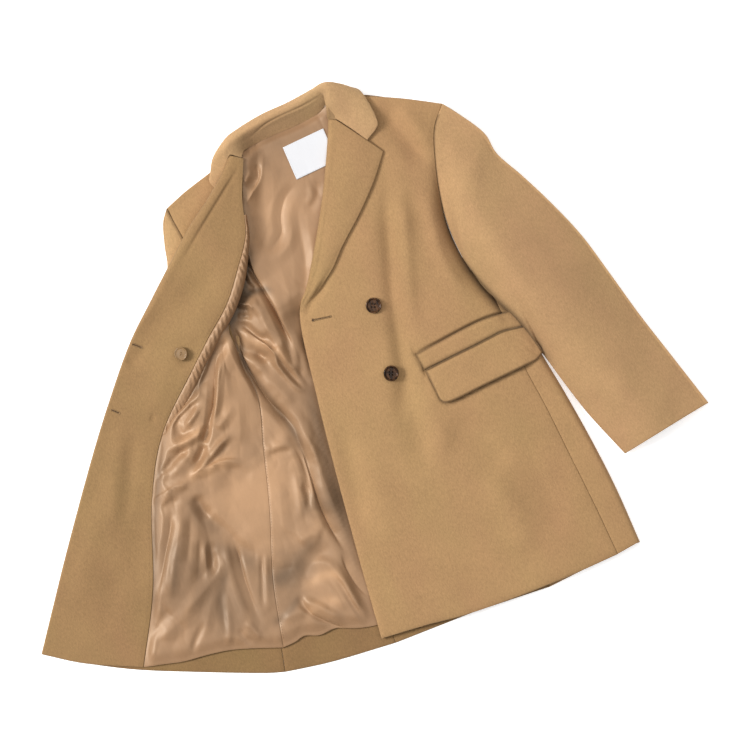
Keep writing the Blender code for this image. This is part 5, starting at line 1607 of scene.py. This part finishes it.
collar = {
    "rows": 130,
    "standColumns": 48,
    "fallColumns": 34,
    # share of the way across that is stand
    "stand": 0.42,
    "standSeam": [([(250, 139), (264, 126), (278, 118), (306, 105), (324, 94)], 1.6, 1.6, -1.5)],
    "sheet": (0.33, 0.085, 0.0215),
    # neck seam, stand, inner side of the fold, outer side of the fold, fall, edge
    "stations": [
        (
            (-86.8, 728.4, 33), (-95, 733.6, 33.8), (-102, 737, 33),
            (-109, 730, 27), (-120, 716, 20), (-137, 696, 17),
        ),
        (
            (-82, 735, 28.5), (-89, 742, 32.5), (-97, 747.5, 34.5),
            (-112, 748, 32), (-129, 738, 23), (-143, 714, 18),
        ),
        ((-74, 738, 21), (-79, 747, 28), (-84, 756, 33), (-98, 763, 26), (-110, 753, 14), (-112, 741, 7)),
        ((-62, 740, 14), (-65, 751, 22), (-68, 762, 28), (-78, 770, 19), (-84, 762, 5), (-84, 750, 0)),
        ((-35, 743, 11.5), (-37, 755, 18), (-38, 768, 24), (-39, 778, 12), (-38, 766, 0), (-36, 745, 0)),
        ((0, 745, 11.5), (0, 758, 18), (0, 770, 23), (0, 781, 12), (0, 768, 0), (0, 745, 0)),
        ((36, 750, 12.5), (36, 763, 20), (37, 776, 26), (40, 787, 14), (42, 776, 0), (46, 756, 0)),
        ((54, 758, 18), (51, 768, 25), (50, 779, 31), (57, 790, 21), (70, 781, 6), (76, 770, 1)),
        ((70, 757, 24), (61, 765, 27), (53, 775, 33), (63, 786, 31), (84, 778, 24), (103, 765, 18)),
        ((82, 752, 24), (66, 753, 26), (51, 755, 32), (57, 757, 36), (84, 750, 32), (111.6, 740, 26)),
        ((86, 737, 22), (68, 742, 25), (49, 746, 28), (56, 745.5, 31), (83, 731.5, 30), (114.4, 711, 28.5)),
        (
            (80, 731, 21.5), (64, 737, 23.5), (48, 743, 25.5),
            (54.5, 742, 28), (77, 724.5, 28.3), (112.2, 704, 28.5),
        ),
        (
            (74, 726, 21), (61, 733, 22), (47, 740, 23),
            (53, 738.5, 25.5), (71.2, 717.6, 26.8), (90.8, 689.6, 28.6),
        ),
    ],
}
stations = np.array(collar["stations"], float)
lines = np.stack([curve(stations[:, i], collar["rows"]) for i in range(stations.shape[1])], axis=1)
standShares = np.linspace(0, collar["stand"], collar["standColumns"])[:-1]
shares = np.concatenate([standShares, np.linspace(collar["stand"], 1, collar["fallColumns"])])
collarGrid = np.array([curve(points, shares) for points in lines])
inner = shares[None] < collar["stand"]
collarGrid[..., 2] += inner * creaseField(collar["standSeam"], collarGrid)
leaf = (collarGrid[..., 0] > 60) & ~inner
rest = restHeight(["leftFront"], collarGrid[..., :2], 0, False) + cloth["gap"] + cloth["collar"]
collarGrid[..., 2] = np.maximum(collarGrid[..., 2], np.where(leaf & (rest > 6), rest, 0))
collarGrid[..., 2] -= seamDip(collarGrid, ("end",), 1.0, 3.5)
collarGrid[..., 2] = np.maximum(collarGrid[..., 2], 0)
# painted shade on the inside of the stand
clothWall(
    "turnedCollar", collarGrid, cloth["collar"], woolCollarPaintedHighlight, "wool_camel", ["collar"],
    paintedShadeAndSheen=0.36 * (1 - ease(0.3, 0.44, shares))[None],
)
print("collar set")


# Pocket on the left front

pocket = {
    "columns": 60,
    "weltRows": 12,
    "flapRows": 17,
    "weltThick": 1.6,
    "flapLift": 5.0,
    "weltSheet": (0.158, 0.028, 0.0042),
    "flapSheet": (0.166, 0.057, 0.0090),
}
under = ["leftFront", "leftSide"]


def evenBed(plan):
    rest = restHeight(under, plan)
    even = blurred(rest, 60)
    return np.maximum(even, rest - 0.5) + 0.3


def pocketPlan(part):
    rows = pocket[part + "Rows"]
    return panel(
        curve(pocketLines[part + "Top"], shares), curve(pocketLines[part + "Foot"], shares),
        curve(pocketLines[part + "Start"], rows), curve(pocketLines[part + "End"], rows),
    )


shares = np.linspace(0, 1, pocket["columns"])
plan = pocketPlan("welt")
height = evenBed(plan)
grid = raised(plan, height)
grid[..., 2] -= seamDip(grid, ("top", "start", "bottom"), 1.7, 3.0)
# painted shade along the welt's edges
clothWall(
    "leftWelt", grid, pocket["weltThick"], wool, "wool_camel", ["left_welt"],
    grows="up", upright=True,
    paintedShadeAndSheen=np.maximum(
        seamDip(grid, ("top", "start"), 0.6, 2.2), seamDip(grid, ("bottom",), 0.85, 2.6)
    ),
)
plan = pocketPlan("flap")
height = evenBed(plan) + 0.2
hang = np.linspace(0, 1, pocket["flapRows"])[:, None] ** 1.5
height += pocket["flapLift"] * hang * (1 - ease(0.78, 0.96, shares))
grid = raised(plan, height)
grid[..., 2] -= seamDip(grid, ("bottom", "start", "end"), 1.2, 4.0)
grid[..., 2] -= seamDip(grid, ("top",), 2.0, 3.6)
# painted shade along the flap's edges, most at the top
clothWall(
    "leftFlap", grid, cloth["flap"], wool, "wool_camel", ["left_flap"],
    grows="up", upright=True,
    paintedShadeAndSheen=np.maximum(
        seamDip(grid, ("top",), 0.85, 2.2), seamDip(grid, ("bottom", "start", "end"), 0.55, 1.8)
    ),
)
print("pocket sewn")


# Buttons


def hornGroup():
    # turned horn or resin: cloudy streaks under a polish
    group, start, end = nodeGroup(
        "cloudyHorn", Colour=(0.05, 0.03, 0.02, 1), Pale=(0.2, 0.1, 0.05, 1), Streak=0.5
    )
    place = group.nodes.new("ShaderNodeTexCoord").outputs["Object"]
    lay = stretched(group, place, (1, 0.3, 1), 0.7)
    cloud = noiseNode(group, lay, 260, 4, 0.6)
    grain = noiseNode(group, lay, 1900, 2)
    amount = mathNode(group, "MULTIPLY_ADD", cloud.outputs["Fac"], 3.2, -1.25, True)
    amount = mathNode(group, "MULTIPLY", amount, start.outputs["Streak"])
    mix = group.nodes.new("ShaderNodeMix")
    mix.data_type = "RGBA"
    group.links.new(amount, mix.inputs["Factor"])
    group.links.new(start.outputs["Colour"], mix.inputs["A"])
    group.links.new(start.outputs["Pale"], mix.inputs["B"])
    group.links.new(mix.outputs["Result"], end.inputs["Colour"])
    rough = mathNode(group, "MULTIPLY_ADD", grain.outputs["Fac"], 0.14, 0.16)
    group.links.new(rough, end.inputs["Roughness"])
    group.links.new(grain.outputs["Fac"], end.inputs["Height"])
    return group


hornFinish = {
    "colour": (0.014, 0.007, 0.004),
    "values": {"Pale": (0.15, 0.066, 0.026, 1), "Streak": 0.85},
    "bump": (0.06, 0.0002),
    "plain": {"Specular IOR Level": 0.16, "Coat Weight": 0.06, "Coat Roughness": 0.05},
}
camelButtonFinish = {
    "colour": (0.205, 0.120, 0.052),
    "values": {"Pale": (0.27, 0.162, 0.074, 1), "Streak": 0.6},
    "bump": (0.06, 0.0002),
    "plain": {"Specular IOR Level": 0.18},
}
threadFinish = {
    "values": {"Threads": 9000.0, "Slub": 0.2},
    "bump": (0.2, 0.0003),
    "plain": {"Specular IOR Level": 0.25, "Sheen Weight": 0.1},
    "camel": (0.300, 0.178, 0.078),
    "dark": (0.030, 0.017, 0.010),
    # dark thread painted as the shadow in the slit
    "slitShadow": (0.045, 0.022, 0.009),
    "beige": (0.200, 0.115, 0.060),
    "white": (0.62, 0.62, 0.64),
}
horn = hornGroup()
hornLook = fabricLook("hornBrown", horn, hornFinish)
camelButtonLook = fabricLook("buttonCamel", horn, camelButtonFinish)
threads = {
    name: fabricLook(name + "Thread", weave, threadFinish, name)
    for name in ("camel", "dark", "slitShadow", "beige", "white")
}


def seat(carriers, x, y, spread):
    # height and slope of the cloth under a small piece
    plan = np.array([(x, y), (x + spread, y), (x - spread, y), (x, y + spread), (x, y - spread)])
    z = restHeight(carriers, plan[None])[0]
    return z, ((z[1] - z[2]) / (2 * spread), (z[3] - z[4]) / (2 * spread))


buttonGrid = {"sides": 72, "faceRings": 30}


def buttonMesh(spec):
    # rings from the middle of the face over the rim to the middle of the back
    r, t, dish = spec["radius"], spec["thick"], spec["dish"]
    rim = [
        (0.74, t - dish), (0.78, t - 0.72 * dish), (0.82, t - 0.2 * dish), (0.86, t), (0.90, t),
        (0.94, t - 0.12), (0.97, t - 0.4), (0.99, t - 0.9), (1.0, t - 1.6),
        (0.99, 1.0), (0.96, 0.5), (0.9, 0.15), (0.8, 0), (0.02, 0),
    ]
    sides, faceRings = buttonGrid["sides"], buttonGrid["faceRings"]
    face = np.linspace(0.02, 0.70, faceRings)
    rings = [(s, t - dish + 0.10 * dish * math.cos(4 * s)) for s in face] + rim
    turn = np.linspace(0, 2 * math.pi, sides, endpoint=False)
    points, faces = [], []
    for k, (s, z) in enumerate(rings):
        x, y = r * s * np.cos(turn), r * s * np.sin(turn)
        height = np.full(sides, float(z))
        if k < faceRings:
            for a in spec["holes"]:
                away = np.hypot(x - spec["holeRing"] * math.cos(a), y - spec["holeRing"] * math.sin(a))
                height -= spec["holeDepth"] * (1 - ease(0.7 * spec["hole"], 1.15 * spec["hole"], away))
        points += list(zip(x, y, height))
    for k in range(len(rings) - 1):
        for i in range(sides):
            a, b = k * sides + i, k * sides + (i + 1) % sides
            faces.append((a, b, b + sides, a + sides))
    faces.append(tuple(reversed(range(sides))))
    faces.append(tuple((len(rings) - 1) * sides + i for i in range(sides)))
    return np.array(points), faces


def setButton(name, node, spec, carriers, look, slot, thread):
    cx, cy = spec["place"]
    z, slope = seat(carriers, cx, cy, 0.7 * spec["radius"])
    lean = np.array(slope) + spec["lean"]
    base = z.max() + 0.4
    if spec["lean"][0]:
        base = z[0] + 0.6 + spec["radius"] * float(np.hypot(*spec["lean"]))
    points, faces = buttonMesh(spec)

    def settle(p):
        p = np.array(p, float)
        p[:, 2] += base + p[:, 0] * lean[0] + p[:, 1] * lean[1]
        p[:, :2] -= (p[:, 2:3] - base) * lean * 0.8
        p[:, :2] += (cx, cy)
        return p

    build(name, settle(points), faces, look, slot, [node])
    # thread over the holes and the shank under the button
    strands = []
    top = spec["thick"] - spec["dish"]
    ring = [(spec["holeRing"] * math.cos(a), spec["holeRing"] * math.sin(a)) for a in spec["holes"]]
    for a, b in spec["bars"]:
        for aside in (-0.32, 0.0, 0.32):
            (ax, ay), (bx, by) = ring[a], ring[b]
            away = math.hypot(bx - ax, by - ay)
            nx, ny = -(by - ay) / away * aside, (bx - ax) / away * aside
            path = []
            for s in np.linspace(0, 1, 9):
                over = top - 1.2 + 1.9 * math.sin(math.pi * s) ** 0.5
                path.append((ax + (bx - ax) * s + nx, ay + (by - ay) * s + ny, over))
            strands.append(path)
    strands = [settle(path) for path in strands]
    for a in range(5):
        x, y = 1.3 * math.cos(1.26 * a), 1.3 * math.sin(1.26 * a)
        foot = (cx + x, cy + y, z[0] - 0.8)
        strands.append(np.array([foot, settle([(x, y, 0.3)])[0]]))
    build(name + "Thread", *tubeMesh(strands, 0.3), thread, slot)


frontButton = {
    "places": {"Upper": (18, 464), "Lower": (8, 364)},
    "radius": 11.4,
    "thick": 4.6,
    "dish": 1.7,
    "holes": [0.4, 1.97, 3.54, 5.11],
    "holeRing": 3.1,
    "hole": 1.15,
    "holeDepth": 2.0,
    "bars": [(0, 1), (2, 3)],
    "lean": (0.0, 0.0),
}
innerButton = {
    "place": (-265, 493),
    "radius": 10.0,
    "thick": 4.2,
    "dish": 0.7,
    "holes": [0.9, 4.04],
    "holeRing": 1.5,
    "hole": 0.8,
    "holeDepth": 1.4,
    "bars": [(0, 1)],
    "lean": (0.20, -0.12),
}
onFront = ["leftFront"]
onFacing = ["rightFacing"]
for which, place in frontButton["places"].items():
    setButton(
        "button" + which, "button_" + which.lower(), {**frontButton, "place": place},
        onFront, hornLook, "button_horn", threads["dark"],
    )
setButton(
    "innerButton", "inner_button", innerButton,
    onFacing, camelButtonLook, "button_camel", threads["camel"],
)
print("buttons sewn on")


# Buttonholes and stitches


def onSurface(carriers, plan, lift):
    plan = np.array(plan, float)
    return np.column_stack([plan, restHeight(carriers, plan[None])[0] + lift])


stitchSizes = {
    # length of a stitch, gap to the next one, radius of the thread
    "dimpleStitch": (3.0, 0.4, 0.45),
    "labelStitches": (1.8, 1.2, 0.2),
    "liningSeamStitches": (2.2, 1.8, 0.24),
    "liningTack": (2.6, 1.6, 0.3),
    "facingStitches": (1.6, 4.6, 0.28),
}


def stitchRow(name, carriers, line, thread, slot):
    length, gap, radius = stitchSizes[name]
    run = np.concatenate([[0], np.cumsum(np.linalg.norm(np.diff(line, axis=0), axis=1))])
    paths = []
    for at in np.arange(0.5 * gap, run[-1] - length, length + gap):
        s = np.linspace(at, at + length, 5)
        plan = np.stack([np.interp(s, run, line[:, 0]), np.interp(s, run, line[:, 1])], axis=1)
        path = onSurface(carriers, plan, 0.0)
        path[:, 2] += radius * (1.3 * np.sin(np.linspace(0, math.pi, 5)) - 0.5)
        paths.append(path)
    build(name, *tubeMesh(paths, radius), thread, slot)


def buttonhole(name, carriers, spec, slot):
    a, b = onCoat(spec["from"]), onCoat(spec["to"])
    length = float(np.linalg.norm(b - a))
    along = (b - a) / length
    aside = np.array([-along[1], along[0]])
    # the slit and the eyelet are dark tubes: a painted shadow in the cut
    slitShadow = a + np.linspace(0, 1, 24)[:, None] * (b - a)
    cutShadow = [onSurface(carriers, slitShadow, 0.10)]
    eyelet = spec["eyelet"]
    purl = []
    for k in np.arange(eyelet + 0.4, length - 0.2, 0.85):
        for side in (-1, 1):
            s = np.linspace(0.45, spec["lip"], 5)
            plan = a + k * along + side * s[:, None] * aside
            path = onSurface(carriers, plan, 0.0)
            path[:, 2] += 0.45 * np.sin(np.linspace(0.5, math.pi, 5))
            purl.append(path)
    # bar across the end, and stitches round the eyelet
    for k in (0.2, 0.8, 1.4):
        plan = b + k * along + np.linspace(-spec["lip"], spec["lip"], 7)[:, None] * aside
        path = onSurface(carriers, plan, 0.0)
        path[:, 2] += 0.4 * np.sin(np.linspace(0, math.pi, 7))
        purl.append(path)
    if eyelet:
        for angle in np.linspace(0.35, 2 * math.pi - 0.35, 15):
            way = math.cos(angle) * along + math.sin(angle) * aside
            path = onSurface(carriers, a + np.linspace(eyelet, eyelet + 1.3, 5)[:, None] * way, 0.0)
            path[:, 2] += 0.45 * np.sin(np.linspace(0.5, math.pi, 5))
            purl.append(path)
        for across in np.linspace(-0.9, 0.9, 7) * eyelet:
            half = math.sqrt(eyelet**2 - across**2)
            plan = a + across * aside + np.linspace(-half, half, 6)[:, None] * along
            cutShadow.append(onSurface(carriers, plan, 0.02))
    build(name + "SlitShadow", *tubeMesh(cutShadow, spec["slitShadow"]), threads["slitShadow"], slot)
    build(name + "Purl", *tubeMesh(purl, 0.36), threads["camel"], slot)


buttonholes = {
    # pixels of both ends, width of each stitched lip, radius of the slit's painted shadow and of the eyelet
    "rightHoleUpper": {
        "from": (132.5, 344.0), "to": (142.0, 347.5), "lip": 2.0, "slitShadow": 0.62, "eyelet": 0.0,
    },
    "rightHoleLower": {
        "from": (111.5, 409.7), "to": (119.5, 413.0), "lip": 2.0, "slitShadow": 0.5, "eyelet": 0.0,
    },
}
for name, spec in buttonholes.items():
    buttonhole(name, onFacing, spec, "wool_facing")
leftHole = {"from": (313.2, 320.3), "to": (330.5, 316.6), "lip": 1.7, "slitShadow": 0.22, "eyelet": 1.4}
buttonhole("leftHole", onFront, leftHole, "wool_camel")

sewing = {
    "dimple": [(151.2, 417.4), (154.2, 418.6)],
    "labelInset": 1.6,
    "tack": [(259.5, 622), (268, 626), (277, 626)],
    # rows and column of the grid that a seam's stitches follow
    "liningSeam": (slice(120, -3), 2),
    "facingSeam": (slice(40, -4), -4),
}
dimple = curve(onCoat(sewing["dimple"]), 6)
stitchRow("dimpleStitch", onFacing, dimple, threads["camel"], "wool_facing")
inset = sewing["labelInset"]
rim = np.concatenate([labelGrid[0], labelGrid[1:, -1], labelGrid[-1, -2::-1], labelGrid[-2::-1, 0]])[:, :2]
middle = labelGrid[..., :2].reshape(-1, 2).mean(axis=0)
rim = rim + inset * (middle - rim) / np.linalg.norm(middle - rim, axis=1)[:, None]
stitchRow("labelStitches", ["neckLabel"], rim, threads["white"], "label_white")
onBackLining = ["backLining"]
liningSeam = backLiningGrid[sewing["liningSeam"]][:, :2]
stitchRow("liningSeamStitches", onBackLining, liningSeam, threads["beige"], "lining_satin")
tack = curve(onCoat(sewing["tack"]), 12)
stitchRow("liningTack", onBackLining, tack, threads["beige"], "lining_satin")
facingSeam = rightFacingGrid[sewing["facingSeam"]][:, :2]
stitchRow("facingStitches", onFacing, facingSeam, threads["camel"], "wool_facing")
print("buttonholes and stitches worked")


# Stage, light and camera

stage = {"floor": (0.95, 0.95, 0.95), "roughness": 0.9, "glow": 0.45, "size": 9.0, "level": -0.0006}
bpy.ops.mesh.primitive_plane_add(size=stage["size"], location=(0, 0, stage["level"]))
floor = bpy.context.object
floor.name = "floor"
floorLook, _, floorShader = newMaterial("paleFloor")
floorShader.inputs["Base Color"].default_value = (*stage["floor"], 1)
floorShader.inputs["Roughness"].default_value = stage["roughness"]
floorShader.inputs["Emission Color"].default_value = (1, 1, 1, 1)
floorShader.inputs["Emission Strength"].default_value = stage["glow"]
floor.data.materials.append(floorLook)

camera = {"middle": (0.0758, -0.024), "height": 8.0, "width": 1.08, "sensor": 36}
cameraData = bpy.data.cameras.new("camera")
cameraData.sensor_width = camera["sensor"]
cameraData.lens = camera["sensor"] * camera["height"] / camera["width"]
cameraObject = bpy.data.objects.new("camera", cameraData)
cameraObject.location = (*camera["middle"], camera["height"])
cameraObject.rotation_euler = (0, 0, math.radians(-photoView["turn"]))
bpy.context.scene.collection.objects.link(cameraObject)
bpy.context.scene.camera = cameraObject

lamps = {
    "overhead": {"kind": "SUN", "from": (0.14, 0.10, 1.0), "power": 1.85, "angle": 84},
    "main": {"kind": "AREA", "from": (-3.85, 2.05, 3.9), "power": 372, "size": 1.9},
    "world": 0.10,
}
for name in ("overhead", "main"):
    lamp = lamps[name]
    data = bpy.data.lights.new(name, lamp["kind"])
    data.energy = lamp["power"]
    lampObject = bpy.data.objects.new(name, data)
    lampObject.rotation_euler = (-Vector(lamp["from"])).to_track_quat("-Z", "Y").to_euler()
    if lamp["kind"] == "SUN":
        data.angle = math.radians(lamp["angle"])
    else:
        data.size = lamp["size"]
        lampObject.location = lamp["from"]
    bpy.context.scene.collection.objects.link(lampObject)
world = bpy.data.worlds.new("studio")
world.use_nodes = True
world.node_tree.nodes["Background"].inputs["Color"].default_value = (1, 1, 1, 1)
world.node_tree.nodes["Background"].inputs["Strength"].default_value = lamps["world"]
bpy.context.scene.world = world
bpy.context.scene.view_settings.view_transform = "Standard"
print("stage set")
